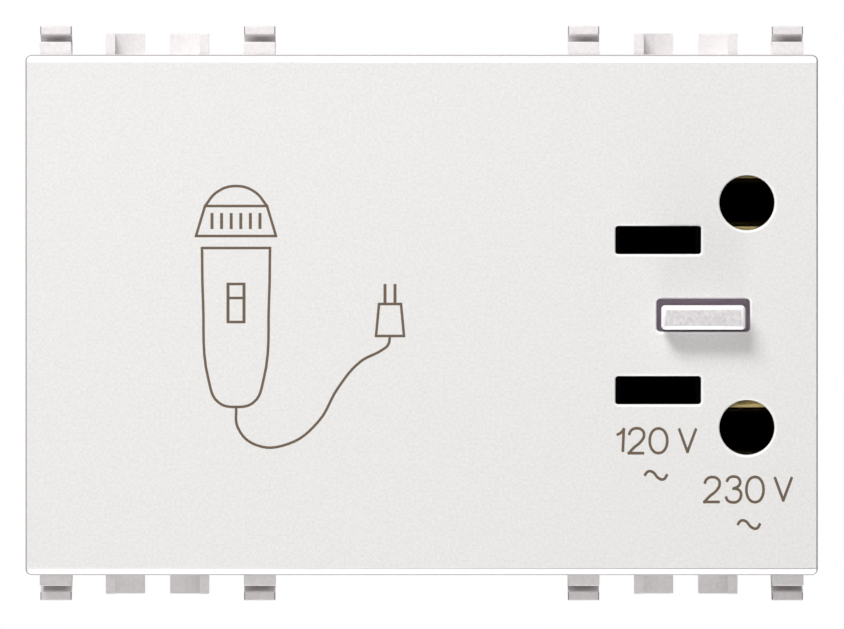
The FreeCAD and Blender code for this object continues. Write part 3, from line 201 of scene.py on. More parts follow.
@dataclass(frozen=True)
class Finish:
    """One finish with a procedural pattern.

    Attributes:
        name: Name of the finish, which names its material.
        colour: Linear base colour.
        shade: Linear colour in the hollows of the pattern.
        roughness: Roughness at the middle of the pattern.
        grain: Pattern of the surface.
        pitch: Size of one grain, sheet or turn in metres.
        relief: Height of the pattern in metres.
        metallic: One for a metal.
        spread: How far the roughness varies.
        contrast: How hard the pattern changes from hollow to raised.
        specular: Strength of the clear reflection.
        slot: Slot of the record, where it has another name; not used.
        deep: Painted shade deep inside the socket, where the finish has one.
    """

    name: str
    colour: Colour
    shade: Colour
    roughness: float
    grain: Grain
    pitch: float
    relief: float
    metallic: float = 0.0
    spread: float = 0.08
    contrast: float = 1.0
    specular: float = 0.5
    slot: str = ""
    deep: DepthShade | None = None

    def material(self) -> bpy.types.Material:
        """Build the node material, or give the one that is there already.

        Returns:
            The material of this finish.
        """
        name = self.name + "_finish"
        made = bpy.data.materials.get(name)
        if made is not None:
            return made
        made = bpy.data.materials.new(name)
        made.use_nodes = True
        tree = made.node_tree
        shader = tree.nodes["Principled BSDF"]
        shader.inputs["Metallic"].default_value = self.metallic
        shader.inputs["Specular IOR Level"].default_value = self.specular
        pattern = self.pattern(tree)
        tree.links.new(self.colour_by(tree, pattern), shader.inputs["Base Color"])
        tree.links.new(self.roughness_by(tree, pattern), shader.inputs["Roughness"])
        tree.links.new(self.relief_by(tree, pattern), shader.inputs["Normal"])
        return made

    def pattern(self, tree: Tree) -> Socket:
        """Add the pattern's texture nodes.

        Args:
            tree: Node tree of the material.

        Returns:
            Socket with the pattern from 0, hollow, to 1, raised.
        """
        place = add_node(tree, "ShaderNodeTexCoord").outputs["Object"]
        if self.grain in (Grain.SHEETS, Grain.TURNS):
            scale = BAND_SCALE / (BAND_PITCHES * self.pitch)
            inputs = {"Vector": place, "Scale": scale, "Distortion": BAND_DISTORTION}
            way = "Y" if self.grain is Grain.SHEETS else "Z"
            wave = add_node(
                tree, "ShaderNodeTexWave", inputs, wave_type="BANDS", bands_direction=way
            )
            return wave.outputs["Fac"]
        if self.grain is Grain.ROLLED:
            inputs = {"Vector": place, "Scale": ROLLED_STRETCH}
            place = add_node(tree, "ShaderNodeMapping", inputs).outputs["Vector"]
        inputs = {"Vector": place, "Scale": 1 / self.pitch}
        inputs |= {"Detail": NOISE_DETAIL, "Roughness": NOISE_ROUGHNESS}
        noise = add_node(tree, "ShaderNodeTexNoise", inputs)
        half = 0.5 / self.contrast
        inputs = {"Value": noise.outputs["Fac"], "From Min": 0.5 - half, "From Max": 0.5 + half}
        return add_node(tree, "ShaderNodeMapRange", inputs).outputs["Result"]

    def colour_by(self, tree: Tree, pattern: Socket) -> Socket:
        """Vary the base colour with the pattern, and darken it with painted shade deep inside the
        socket.

        Args:
            tree: Node tree of the material.
            pattern: Socket of the pattern.

        Returns:
            Socket of the colour.
        """
        inputs = {"A": (*self.shade, 1.0), "B": (*self.colour, 1.0), "Factor": pattern}
        colour = add_node(tree, "ShaderNodeMix", inputs, data_type="RGBA").outputs["Result"]
        if self.deep is not None:
            inputs = {"A": colour, "B": (*self.deep.colour, 1.0), "Factor": self.deep.share(tree)}
            colour = add_node(tree, "ShaderNodeMix", inputs, data_type="RGBA").outputs["Result"]
        return colour

    def roughness_by(self, tree: Tree, pattern: Socket) -> Socket:
        """Vary the roughness with the pattern.

        Args:
            tree: Node tree of the material.
            pattern: Socket of the pattern.

        Returns:
            Socket of the roughness.
        """
        inputs = {"Value": pattern, "To Min": self.roughness + self.spread}
        inputs["To Max"] = self.roughness - self.spread
        rough = add_node(tree, "ShaderNodeMapRange", inputs).outputs["Result"]
        if self.deep is not None:
            inputs = {"A": rough, "B": self.deep.roughness, "Factor": self.deep.share(tree)}
            rough = add_node(tree, "ShaderNodeMix", inputs).outputs["Result"]
        return rough

    def relief_by(self, tree: Tree, pattern: Socket) -> Socket:
        """Raise the pattern as a bump.

        Args:
            tree: Node tree of the material.
            pattern: Socket of the pattern.

        Returns:
            Socket of the bumped normal.
        """
        inputs = {"Height": pattern, "Distance": self.relief, "Strength": 1.0}
        return add_node(tree, "ShaderNodeBump", inputs).outputs["Normal"]


COVER = Finish(
    "cover_plastic", (0.89, 0.89, 0.87), (0.80, 0.795, 0.78), 0.4,
    Grain.FINE, 0.22 * MM, 0.012 * MM, contrast=2.6,
)
# Painted highlight: a near-white colour on the rims and bevels round the face, brighter than the
# cover, in place of the light that they catch.
COVER_RIM_HIGHLIGHT = Finish(
    "cover_rim_painted_highlight", (0.985, 0.985, 0.975), (0.96, 0.96, 0.95), 0.22,
    Grain.FINE, 0.4 * MM, 0.001 * MM, specular=0.8, slot="cover_plastic",
)
# Painted shade: a grey, matt colour on the narrow flare round the plate, darker than the cover, in
# place of the shade along its edge.
COVER_SHADE_LINE = Finish(
    "cover_painted_shade_line", (0.56, 0.53, 0.535), (0.50, 0.47, 0.475), 0.8,
    Grain.FINE, 0.4 * MM, 0.004 * MM, specular=0.0, slot="cover_plastic",
)
PLUNGER = Finish(
    "plunger_plastic", (0.82, 0.80, 0.805), (0.66, 0.64, 0.645), 0.36,
    Grain.FINE, 0.3 * MM, 0.02 * MM, contrast=3.0,
    # Painted shade: the bar's sides and flange, seen in the gap round it, turn a dark mauve with
    # depth.
    deep=DepthShade(-9.6 * MM, -7.7 * MM, (0.68, 0.59, 0.69), 0.6),
)
# Painted highlight: a near-white colour on the bar's chamfer, brighter than the bar, in place of
# the light that it catches.
PLUNGER_RIM_HIGHLIGHT = Finish(
    "plunger_rim_painted_highlight", (0.985, 0.98, 0.98), (0.95, 0.945, 0.945), 0.22,
    Grain.FINE, 0.4 * MM, 0.001 * MM, specular=0.8, slot="plunger_plastic",
)
HOUSING = Finish(
    "housing_plastic", (0.87, 0.845, 0.845), (0.76, 0.735, 0.74), 0.5,
    Grain.FINE, 0.3 * MM, 0.008 * MM, contrast=2.0,
)
# Painted shade: a dark, matt colour on the side roundings of the latches and ribs, in place of the
# shade along their edges.
HOUSING_SHADE_LINE = Finish(
    "housing_painted_shade_line", (0.30, 0.26, 0.275), (0.24, 0.21, 0.22), 0.8,
    Grain.FINE, 0.4 * MM, 0.004 * MM, specular=0.0, slot="housing_plastic",
)
# The carrier's dark plastic, made near-black with a violet tinge as painted shade for the depths of
# the slots and holes.
CARRIER = Finish(
    "carrier_plastic", (0.004, 0.002, 0.007), (0.002, 0.001, 0.004), 0.75,
    Grain.FINE, 0.4 * MM, 0.005 * MM, specular=0.1,
)
BUTTON = Finish(
    "button_plastic", (0.62, 0.06, 0.04), (0.55, 0.05, 0.03), 0.4,
    Grain.FINE, 0.4 * MM, 0.002 * MM,
)
BRASS = Finish(
    "contact_brass", (0.72, 0.52, 0.20), (0.60, 0.42, 0.15), 0.28,
    Grain.ROLLED, 0.12 * MM, 0.003 * MM, 1.0,
)
SOCKET_BRASS = Finish(
    "socket_brass", (0.60, 0.48, 0.20), (0.12, 0.085, 0.03), 0.3,
    Grain.ROLLED, 0.5 * MM, 0.004 * MM, 1.0, contrast=3.0, slot="contact_brass",
    # Painted shade: the contacts turn nearly black with depth inside the holes.
    deep=DepthShade(-5.35 * MM, -3.4 * MM, (0.006, 0.004, 0.005), 0.9),
)
PLATED = Finish(
    "plated_steel", (0.62, 0.62, 0.60), (0.52, 0.52, 0.50), 0.32,
    Grain.ROLLED, 0.15 * MM, 0.003 * MM, 1.0,
)
SPRING = Finish(
    "spring_steel", (0.50, 0.50, 0.50), (0.42, 0.42, 0.42), 0.3,
    Grain.ROLLED, 0.1 * MM, 0.002 * MM, 1.0,
)
TINNED = Finish(
    "tinned_pins", (0.72, 0.72, 0.70), (0.62, 0.62, 0.60), 0.3,
    Grain.ROLLED, 0.1 * MM, 0.002 * MM, 1.0,
)
SHEETS = Finish(
    "lamination_steel", (0.20, 0.20, 0.22), (0.06, 0.06, 0.065), 0.45,
    Grain.SHEETS, 0.5 * MM, 0.03 * MM, 0.8,
)
NYLON = Finish(
    "bobbin_plastic", (0.78, 0.74, 0.64), (0.74, 0.70, 0.60), 0.45,
    Grain.FINE, 0.5 * MM, 0.004 * MM,
)
COPPER = Finish(
    "copper_wire", (0.60, 0.24, 0.10), (0.34, 0.12, 0.05), 0.3,
    Grain.TURNS, 0.25 * MM, 0.05 * MM, 1.0,
)
TAPE = Finish(
    "winding_tape", (0.80, 0.56, 0.10), (0.72, 0.50, 0.08), 0.25,
    Grain.FINE, 1.5 * MM, 0.01 * MM,
)
FOAM = Finish(
    "foam_strip", (0.06, 0.06, 0.06), (0.01, 0.01, 0.01), 0.9,
    Grain.FINE, 0.3 * MM, 0.1 * MM,
)
DISC = Finish(
    "disc_coating", (0.05, 0.16, 0.42), (0.04, 0.12, 0.34), 0.3,
    Grain.FINE, 0.6 * MM, 0.01 * MM,
)
LEAD_BROWN = Finish(
    "lead_brown", (0.16, 0.06, 0.025), (0.13, 0.05, 0.02), 0.35,
    Grain.FINE, 0.6 * MM, 0.004 * MM,
)
LEAD_BLUE = Finish(
    "lead_blue", (0.03, 0.10, 0.45), (0.025, 0.08, 0.38), 0.35,
    Grain.FINE, 0.6 * MM, 0.004 * MM,
)
INK = Finish(
    "marking_ink", (0.15, 0.104, 0.067), (0.13, 0.09, 0.058), 0.6,
    Grain.FINE, 0.15 * MM, 0.002 * MM,
)

FINISH_NODES: dict[Finish, tuple[str, ...]] = {
    CARRIER: ("socket_carrier", "contact_retainer", "switch_case"),
    PLATED: ("carrier_screws", "line_screw", "neutral_screw"),
    SOCKET_BRASS: ("contact_120v", "contact_230v", "common_contact"),
    BRASS: ("terminal_line", "terminal_neutral", "switch_terminals"),
    SPRING: ("plunger_spring",),
    BUTTON: ("switch_button",),
    SHEETS: ("core_e_stack", "core_i_stack"),
    NYLON: ("bobbin",),
    TINNED: ("bobbin_pins",),
    COPPER: ("primary_winding", "secondary_winding"),
    TAPE: ("primary_tape", "secondary_tape"),
    FOAM: ("core_pad_upper", "core_pad_lower"),
    DISC: ("thermistor_disc",),
    LEAD_BROWN: (
        "lead_120v", "lead_230v", "lead_line_to_switch", "lead_switch_to_thermistor",
        "lead_thermistor_to_primary",
    ),
    LEAD_BLUE: ("lead_common", "lead_neutral"),
    COVER: ("front_cover",),
    PLUNGER: ("plug_plunger",),
    HOUSING: ("rear_housing",),
}


class Piece:
    """A mesh being shaped with bmesh operators, and the object that it becomes."""

    def __init__(self, name: str, mesh: bpy.types.Mesh | None = None) -> None:
        """Start empty, or from a merged copy of a CAD node's mesh.

        Args:
            name: Name of the piece.
            mesh: Mesh to copy.
        """
        self.name = name
        self.bm = bmesh.new()
        if mesh is not None:
            self.bm.from_mesh(mesh)
            bmesh.ops.remove_doubles(self.bm, verts=self.bm.verts, dist=WELD)
            self.merge_flats()

    def merge_flats(self) -> None:
        """Join the triangles of each flat face."""
        bmesh.ops.dissolve_limit(
            self.bm,
            angle_limit=FLAT_ANGLE,
            use_dissolve_boundaries=False,
            verts=self.bm.verts,
            edges=self.bm.edges,
            delimit=set(),
        )

    def soften(self, width: float, steps: int, wanted: EdgeTest) -> int:
        """Round the sharp edges that pass a test.

        Args:
            width: Width of the rounding.
            steps: Faces across it.
            wanted: Test of one edge.

        Returns:
            How many edges were rounded.
        """
        self.bm.normal_update()
        edges = [
            edge
            for edge in self.bm.edges
            if len(edge.link_faces) == 2
            and edge.calc_face_angle(0.0) > ROUNDED_ANGLE
            and wanted(edge)
        ]
        self.bevel(edges, width, steps)
        return len(edges)

    def bevel(self, edges: Sequence[Edge], width: float, steps: int) -> None:
        """Round the given edges.

        Args:
            edges: Edges to round.
            width: Width of the rounding.
            steps: Faces across it.
        """
        bmesh.ops.bevel(
            self.bm,
            geom=edges,
            offset=width,
            offset_type="OFFSET",
            segments=steps,
            profile=0.5,
            affect="EDGES",
            clamp_overlap=False,
            material=-1,
        )

    def add_block(self, middle_at: Place, size: Place, corner: float = 0.0) -> None:
        """Add a block, with its edges along Y rounded.

        Args:
            middle_at: Middle of the block.
            size: Size along X, Y and Z.
            corner: Radius of the edges along Y.
        """
        where = Matrix.Translation(middle_at) @ Matrix.Diagonal((*size, 1.0))
        made = bmesh.ops.create_cube(self.bm, size=1.0, matrix=where)["verts"]
        if corner:
            edges = dict.fromkeys(edge for corner_at in made for edge in corner_at.link_edges)
            along = [e for e in edges if abs(e.verts[0].co.y - e.verts[1].co.y) > size[1] / 2]
            self.bevel(along, corner, CORNER_STEPS)

    def add_disc(self, middle_at: Place, radius: float, depth: float) -> None:
        """Add a disc across Y.

        Args:
            middle_at: Middle of the disc.
            radius: Its radius.
            depth: Its depth along Y.
        """
        bmesh.ops.create_cone(
            self.bm,
            cap_ends=True,
            segments=DISC_STEPS,
            radius1=radius,
            radius2=radius,
            depth=depth,
            matrix=Matrix.Translation(middle_at) @ Matrix.Rotation(math.pi / 2, 4, "X"),
        )

    def carve(self, cutter: "Piece") -> None:
        """Cut another piece out of this one.

        Args:
            cutter: Closed forms to take away.
        """
        bodies = []
        for piece in (self, cutter):
            mesh = bpy.data.meshes.new(piece.name + "_solid")
            piece.bm.to_mesh(mesh)
            bodies.append(add_object(piece.name + "_solid", mesh))
        cut = bodies[0].modifiers.new("cut", "BOOLEAN")
        cut.operation = "DIFFERENCE"
        cut.solver = "EXACT"
        cut.object = bodies[1]
        left = evaluated_mesh(bodies[0])
        cutter.bm.free()
        self.bm.clear()
        self.bm.from_mesh(left)
        bpy.data.meshes.remove(left)
        for body in bodies:
            mesh = body.data
            bpy.data.objects.remove(body)
            bpy.data.meshes.remove(mesh)

    def object(
        self,
        finish: Finish,
        body: str,
        replaced: Sequence[str] = (),
        parts: Sequence[tuple[Finish, FaceTest]] = (),
    ) -> bpy.types.Object:
        """Turn the mesh into a dressed object that rides on a body.

        Args:
            finish: Finish of the whole piece.
            body: CAD body that it moves with.
            replaced: CAD nodes that it stands for.
            parts: Finishes of the faces that pass a test.

        Returns:
            The new object.
        """
        bmesh.ops.dissolve_degenerate(self.bm, dist=WELD, edges=self.bm.edges)
        bmesh.ops.recalc_face_normals(self.bm, faces=self.bm.faces)
        self.bm.normal_update()
        for number, (_, wanted) in enumerate(parts, start=1):
            for face in self.bm.faces:
                if wanted(face):
                    face.material_index = number
        mesh = bpy.data.meshes.new(self.name)
        self.bm.to_mesh(mesh)
        self.bm.free()
        mesh.shade_smooth()
        mesh.set_sharp_from_angle(angle=SHARP_ANGLE)
        made = add_object(self.name, mesh)
        for worn in (finish, *(part for part, _ in parts)):
            mesh.materials.append(worn.material())
        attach(made, body)
        if replaced:
            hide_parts(*replaced)
        flats = made.modifiers.new("flats_stay_flat", "WEIGHTED_NORMAL")
        flats.mode = "FACE_AREA"
        flats.weight = 100
        flats.keep_sharp = True
        LOG.info("%s: %d faces", self.name, len(mesh.polygons))
        return made


def middle(edge: Edge) -> Vector:
    """Middle of an edge."""
    return (edge.verts[0].co + edge.verts[1].co) / 2


def flat_at(edge: Edge, y: float) -> bool:
    """True for an edge that lies at one depth."""
    return all(abs(v.co.y - y) < SAME_DEPTH for v in edge.verts)


def within(value: float, limits: tuple[float, float]) -> bool:
    """True for a value between two limits."""
    return limits[0] < value < limits[1]


@dataclass
class FaceCover:
    """Face plate and skirt in one moulding.

    Attributes:
        face_y: Depth of the face.
        rear_y: Depth of the skirt's edge.
        rim: Rounding of the openings' rims.
        edge: Rounding of the upper and lower outer edges.
        crease: Width of the crease between the face and its left and right sides.
        steps: Faces across the rims, the edges and the creases.
        flare: Depth over which the sides reach their full width.
        draft: Slope of the outer walls.
        openings: Half width and half height of the field that holds all openings.
        walls: Half width and half height beyond which only outer walls lie.
        outline: Half width within which, and half height beyond which, the outer edges lie.
        ends: Half width and half height beyond which the flare and the creases lie.
        wall_depth: How far behind the face every wall reaches.
        edge_depth: How far behind the face the outer edges lie at most.
        rim_depth: How far behind the face the roundings reach at most.
        flare_depth: How far behind the face the flare reaches at most.
        wall_tilt: Largest part along Y of a wall's normal.
        rim_tilt: Range of the part along Y of a rounding's normal.
        side_tilt: Part along X from which a normal belongs to a side wall.
        flare_tilt: Smallest part along Y of the flare's normal.
    """

    face_y: float
    rear_y: float
    rim: float = 0.2 * MM
    edge: float = 0.1 * MM
    crease: float = 0.02 * MM
    steps: tuple[int, int, int] = (3, 2, 1)
    flare: float = 1.0 * MM
    draft: float = 0.12 / 6.3
    openings: tuple[float, float] = (31 * MM, 15 * MM)
    walls: tuple[float, float] = (32.9 * MM, 21.5 * MM)
    outline: tuple[float, float] = (33 * MM, 21 * MM)
    ends: tuple[float, float] = (33.3 * MM, 21.8 * MM)
    wall_depth: float = 3 * MM
    edge_depth: float = 1.2 * MM
    rim_depth: float = 0.6 * MM
    flare_depth: float = 1.5 * MM
    wall_tilt: float = 0.1
    rim_tilt: tuple[float, float] = (-0.985, -0.2)
    side_tilt: float = 0.999
    flare_tilt: float = -0.5

    def build(self, source: bpy.types.Object) -> bpy.types.Object:
        """Build the shell.

        Args:
            source: CAD node of the cover.

        Returns:
            The dressed shell.
        """
        shell = Piece("cover_shell", source.data)
        rims = shell.soften(self.rim, self.steps[0], self.on_opening)
        edges = shell.soften(self.edge, self.steps[1], self.on_outline)
        ends = shell.soften(self.crease, self.steps[2], self.on_side)
        flared = self.flare_walls(shell.bm)
        LOG.info("cover: %d rim, %d outline, %d side edges, %d flared", rims, edges, ends, flared)
        # Rims and bevels get a painted highlight, and the narrow flare a painted shade line.
        parts = [(COVER_RIM_HIGHLIGHT, self.is_highlit_rim), (COVER_SHADE_LINE, self.is_shaded_flare)]
        return shell.object(COVER, "housing", ["front_cover"], parts)

    def flare_walls(self, bm: bmesh.types.BMesh) -> int:
        """Let the outer walls reach their full width close behind the face.

        Args:
            bm: Mesh of the shell.

        Returns:
            How many corners the cut gave.
        """
        bm.normal_update()
        walls = [face for face in bm.faces if self.is_wall(face)]
        lines = dict.fromkeys(edge for face in walls for edge in face.edges)
        ends = dict.fromkeys(corner for face in walls for corner in face.verts)
        cut = bmesh.ops.bisect_plane(
            bm,
            geom=[*walls, *lines, *ends],
            dist=CUT_REACH,
            plane_co=(0.0, self.face_y + self.flare, 0.0),
            plane_no=(0.0, 1.0, 0.0),
        )["geom_cut"]
        corners = [corner for corner in cut if isinstance(corner, bmesh.types.BMVert)]
        for corner in corners:
            outward = (face.normal for face in corner.link_faces if self.is_wall(face))
            way = sum(outward, Vector())
            way.y = 0.0
            corner.co += way.normalized() * (self.rear_y - corner.co.y) * self.draft
        return len(corners)

    def is_wall(self, face: Face) -> bool:
        """True for an outer wall that runs from the face to the rear."""
        far_x, far_z = self.walls
        outside = all(abs(v.co.x) > far_x or abs(v.co.z) > far_z for v in face.verts)
        long = max(v.co.y for v in face.verts) > self.face_y + self.wall_depth
        return outside and long and abs(face.normal.y) < self.wall_tilt

    def on_opening(self, edge: Edge) -> bool:
        """True for the front rim of a hole, slot or window."""
        where = middle(edge)
        inside = abs(where.x) < self.openings[0] and abs(where.z) < self.openings[1]
        return inside and flat_at(edge, self.face_y)

    def on_outline(self, edge: Edge) -> bool:
        """True for the plate's upper and lower outer edges."""
        where = middle(edge)
        far = abs(where.x) < self.outline[0] and abs(where.z) > self.outline[1]
        return far and where.y < self.face_y + self.edge_depth and flat_at(edge, where.y)

    def on_side(self, edge: Edge) -> bool:
        """True for the face's left and right ends."""
        return abs(middle(edge).x) > self.ends[0] and flat_at(edge, self.face_y)

    def is_highlit_rim(self, face: Face) -> bool:
        """True for the rounded rims and bevels round the face, which carry a painted highlight."""
        near = face.calc_center_median().y < self.face_y + self.rim_depth
        return near and within(face.normal.y, self.rim_tilt) and abs(face.normal.x) < self.side_tilt

    def is_shaded_flare(self, face: Face) -> bool:
        """True for the narrow flare round the plate, which carries a painted shade line."""
        where = face.calc_center_median()
        far = abs(where.x) > self.ends[0] or abs(where.z) > self.ends[1]
        return far and where.y < self.face_y + self.flare_depth and face.normal.y > self.flare_tilt


@dataclass
class PlungerBar:
    """Bar that a plug's face presses.

    Attributes:
        front_y: Depth of its front.
        edge: Rounding of the chamfer's edges.
        steps: Faces across the rounding.
        chamfer: Depth within which the chamfer lies.
        rim_tilt: Range of the part along Y of the chamfer's normal.
    """

    front_y: float
    edge: float = 0.12 * MM
    steps: int = 3
    chamfer: float = 0.5 * MM
    rim_tilt: tuple[float, float] = (-0.88, -0.1)

    def build(self, source: bpy.types.Object) -> bpy.types.Object:
        """Build the bar.

        Args:
            source: CAD node of the plunger.

        Returns:
            The dressed bar.
        """
        bar = Piece("plunger_bar", source.data)
        bar.soften(self.edge, self.steps, self.near_front)
        # The chamfer carries a painted highlight.
        return bar.object(PLUNGER, "plunger", ["plug_plunger"], [(PLUNGER_RIM_HIGHLIGHT, self.is_highlit_rim)])

    def is_highlit_rim(self, face: Face) -> bool:
        """True for the chamfer and its roundings, which carry a painted highlight."""
        near = face.calc_center_median().y < self.front_y + self.chamfer
        return near and within(face.normal.y, self.rim_tilt)

    def near_front(self, edge: Edge) -> bool:
        """True for the edges of the front chamfer."""
        near = all(v.co.y < self.front_y + self.chamfer for v in edge.verts)
        return near and flat_at(edge, middle(edge).y)


@dataclass
class ReturnSpring:
    """Spring behind the plunger. It is built as it stands and does not shorten as the plunger goes
    in.

    Attributes:
        front_y: Its end at the plunger; not used.
        seat_y: Its end on the switch; not used.
        travel: How far the plunger goes in; not used.
    """

    front_y: float
    seat_y: float
    travel: float = 2 * MM

    def build(self, source: bpy.types.Object) -> bpy.types.Object:
        """Build the spring.

        Args:
            source: CAD node of the spring.

        Returns:
            The dressed spring.
        """
        spring = Piece("return_spring", source.data).object(SPRING, "housing", ["plunger_spring"])
        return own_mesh(spring)


@dataclass(frozen=True)
class GrooveRow:
    """Row of cooling grooves that two opposite walls share.

    Attributes:
        wall: Distance of both walls from the middle.
        first: Place of the first groove along the row.
        pitch: From one groove to the next.
        middle_at: Middle of every groove along its length.
        length: Length of a groove.
        count: How many there are.
    """

    wall: float
    first: float
    pitch: float
    middle_at: float
    length: float
    count: int = 6

    def places(self) -> list[float]:
        """Places of the grooves along the row."""
        return [self.first + self.pitch * step for step in range(self.count)]


@dataclass
class Housing:
    """Tray behind the cover, with its latches and ribs.

    Attributes:
        rear_y: Depth of its rear face.
        edge: Rounding of the latches' edges.
        recess: Depth of the recesses in the rear face.
        recess_edge: Rounding of their rims.
        steps: Faces across both roundings.
        entry_z: Height of the wire entries, up and down.
        letter_x: Middle of both letters' wells.
        letter_well: Width of a letter's well.
        well_corner: Radius of its corners.
        ejector_at: Distance of the ejector pins' marks from the middle, across and up.
        ejector: Radius of a mark.
        rear_field: Half width and half height of the field that holds the recesses.
        groove: Width and depth of the cooling grooves.
        side_row: Grooves of the left and right walls.
        level_row: Grooves of the upper and lower walls.
        clear_z: Height beyond which only latches and ribs stand.
        latch_rise: Greatest rise of an edge that is rounded.
        line_tilt: Range of the part along X of the normal of a latch's side rounding.
        line_front: Greatest part along Y of that normal.
        line_up: Greatest part along Z of that normal.
    """

    rear_y: float
    edge: float = 0.08 * MM
    recess: float = 0.4 * MM
    recess_edge: float = 0.1 * MM
    steps: int = 2
    entry_z: float = 10.6 * MM
    letter_x: float = 17.4 * MM
    letter_well: float = 4.4 * MM
    well_corner: float = 0.6 * MM
    ejector_at: tuple[float, float] = (28.6 * MM, 17.0 * MM)
    ejector: float = 1.4 * MM
    rear_field: tuple[float, float] = (31 * MM, 19.5 * MM)
    groove: tuple[float, float] = (1.2 * MM, 0.45 * MM)
    side_row: GrooveRow = GrooveRow(31.8 * MM, 15 * MM, 2.6 * MM, 0.0, 24 * MM)
    level_row: GrooveRow = GrooveRow(20.32 * MM, -22 * MM, 4 * MM, 21.5 * MM, 13 * MM)
    clear_z: float = 22.2 * MM
    latch_rise: float = 3 * MM
    line_tilt: tuple[float, float] = (0.3, 0.97)
    line_front: float = -0.2
    line_up: float = 0.5

    def build(self, source: bpy.types.Object) -> bpy.types.Object:
        """Build the tray.

        Args:
            source: CAD node of the housing.

        Returns:
            The dressed tray.
        """
        tray = Piece("housing_tray", source.data)
        tray.soften(self.edge, self.steps, self.on_latch)
        tray.carve(self.recesses())
        tray.carve(self.grooves())
        tray.merge_flats()
        rims = tray.soften(self.recess_edge, self.steps, self.on_recess)
        LOG.info("housing: %d recess rims", rims)
        # The side roundings of the latches and ribs carry a painted shade line.
        return tray.object(HOUSING, "housing", ["rear_housing"], [(HOUSING_SHADE_LINE, self.is_shaded_line)])

    def recesses(self) -> Piece:
        """Forms of the recesses in the rear face.

        Returns:
            The forms: letters' wells and the round marks that the ejector pins leave.
        """
        forms = Piece("recesses")
        well = (self.letter_well, 2 * self.recess, self.letter_well)
        out_x, out_z = self.ejector_at
        for side in (-1, 1):
            well_at = (self.letter_x, self.rear_y, side * self.entry_z)
            forms.add_block(well_at, well, self.well_corner)
            for x in (-out_x, out_x):
                forms.add_disc((x, self.rear_y, side * out_z), self.ejector, self.recess)
        return forms

    def grooves(self) -> Piece:
        """Forms of the cooling grooves round the transformer.

        Returns:
            The forms, on both sides and on the upper and lower walls.
        """
        forms = Piece("grooves")
        width, depth = self.groove
        sides, levels = self.side_row, self.level_row
        for side in (-1, 1):
            for y, x in zip(sides.places(), levels.places()):
                block = (2 * depth, width, sides.length)
                forms.add_block((side * sides.wall, y, sides.middle_at), block)
                block = (width, levels.length, 2 * depth)
                forms.add_block((x, levels.middle_at, side * levels.wall), block)
        return forms

    def on_latch(self, edge: Edge) -> bool:
        """True for the edges of a latch or rib that stand clear of the body."""
        clear = all(abs(v.co.z) > self.clear_z for v in edge.verts)
        return clear and abs(edge.verts[0].co.z - edge.verts[1].co.z) <= self.latch_rise

    def is_shaded_line(self, face: Face) -> bool:
        """True for the narrow roundings at a latch's or rib's sides that face forwards, which carry
        a painted shade line.
        """
        clear = abs(face.calc_center_median().z) > self.clear_z
        forwards = face.normal.y < self.line_front and abs(face.normal.z) < self.line_up
        return clear and forwards and within(abs(face.normal.x), self.line_tilt)

    def on_recess(self, edge: Edge) -> bool:
        """True for the rims in the rear face."""
        where = middle(edge)
        inside = abs(where.x) < self.rear_field[0] and abs(where.z) < self.rear_field[1]
        return inside and flat_at(edge, self.rear_y)


@dataclass(frozen=True)
class Stroke:
    """One printed line through points of the photo frame.

    Attributes:
        points: Column, row and bend of each point; a bend is round, the others are corners.
        closed: True for a line that ends where it starts.
    """

    points: tuple[Point, ...]
    closed: bool = False

    def moved(self, columns: float, rows: float) -> "Stroke":
        """The same line, shifted in the photo frame.

        Args:
            columns: Shift to the right.
            rows: Shift down.

        Returns:
            The shifted line.
        """
        shifted = tuple((c + columns, r + rows, bend) for c, r, bend in self.points)
        return Stroke(shifted, self.closed)

    def runs(self, extra: float) -> list["Stroke"]:
        """Split the line at its corners, so that each run keeps its full width.

        Args:
            extra: How far a run goes on beyond a corner.

        Returns:
            The runs, each without a corner between its ends.
        """
        if all(bend for _, _, bend in self.points):
            return [self]
        if self.closed and self.points[0][2]:
            raise ValueError("a closed line with corners starts at a corner")
        points = list(self.points) + ([self.points[0]] if self.closed else [])
        last = len(points) - 1
        corners = [n for n, point in enumerate(points) if not point[2] or n in (0, last)]
        found = []
        for start, end in zip(corners, corners[1:]):
            run = list(points[start : end + 1])
            if start > 0 or self.closed:
                run[0] = beyond(run[1], run[0], extra)
            if end < last or self.closed:
                run[-1] = beyond(run[-2], run[-1], extra)
            found.append(Stroke(tuple(run)))
        return found


def beyond(inner: Point, outer: Point, extra: float) -> Point:
    """Point a little further on than the outer one, seen from the inner one."""
    way = Vector((outer[0] - inner[0], outer[1] - inner[1])).normalized() * extra
    return (outer[0] + way.x, outer[1] + way.y, outer[2])


def bent(*points: tuple[float, float], closed: bool = False) -> Stroke:
    """Line with bends all the way."""
    return Stroke(tuple((c, r, True) for c, r in points), closed)


def cornered(*points: tuple[float, float], closed: bool = False) -> Stroke:
    """Line of straight runs."""
    return Stroke(tuple((c, r, False) for c, r in points), closed)


def oval(column: float, row: float, half_width: float, half_height: float) -> Stroke:
    """Closed oval round a middle point."""
    return bent(
        (column, row - half_height),
        (column + half_width, row),
        (column, row + half_height),
        (column - half_width, row),
        closed=True,
    )


def upright(columns: Sequence[float], rows: tuple[float, float]) -> list[Stroke]:
    """Upright straight lines between two rows."""
    return [cornered(*((column, row) for row in rows)) for column in columns]


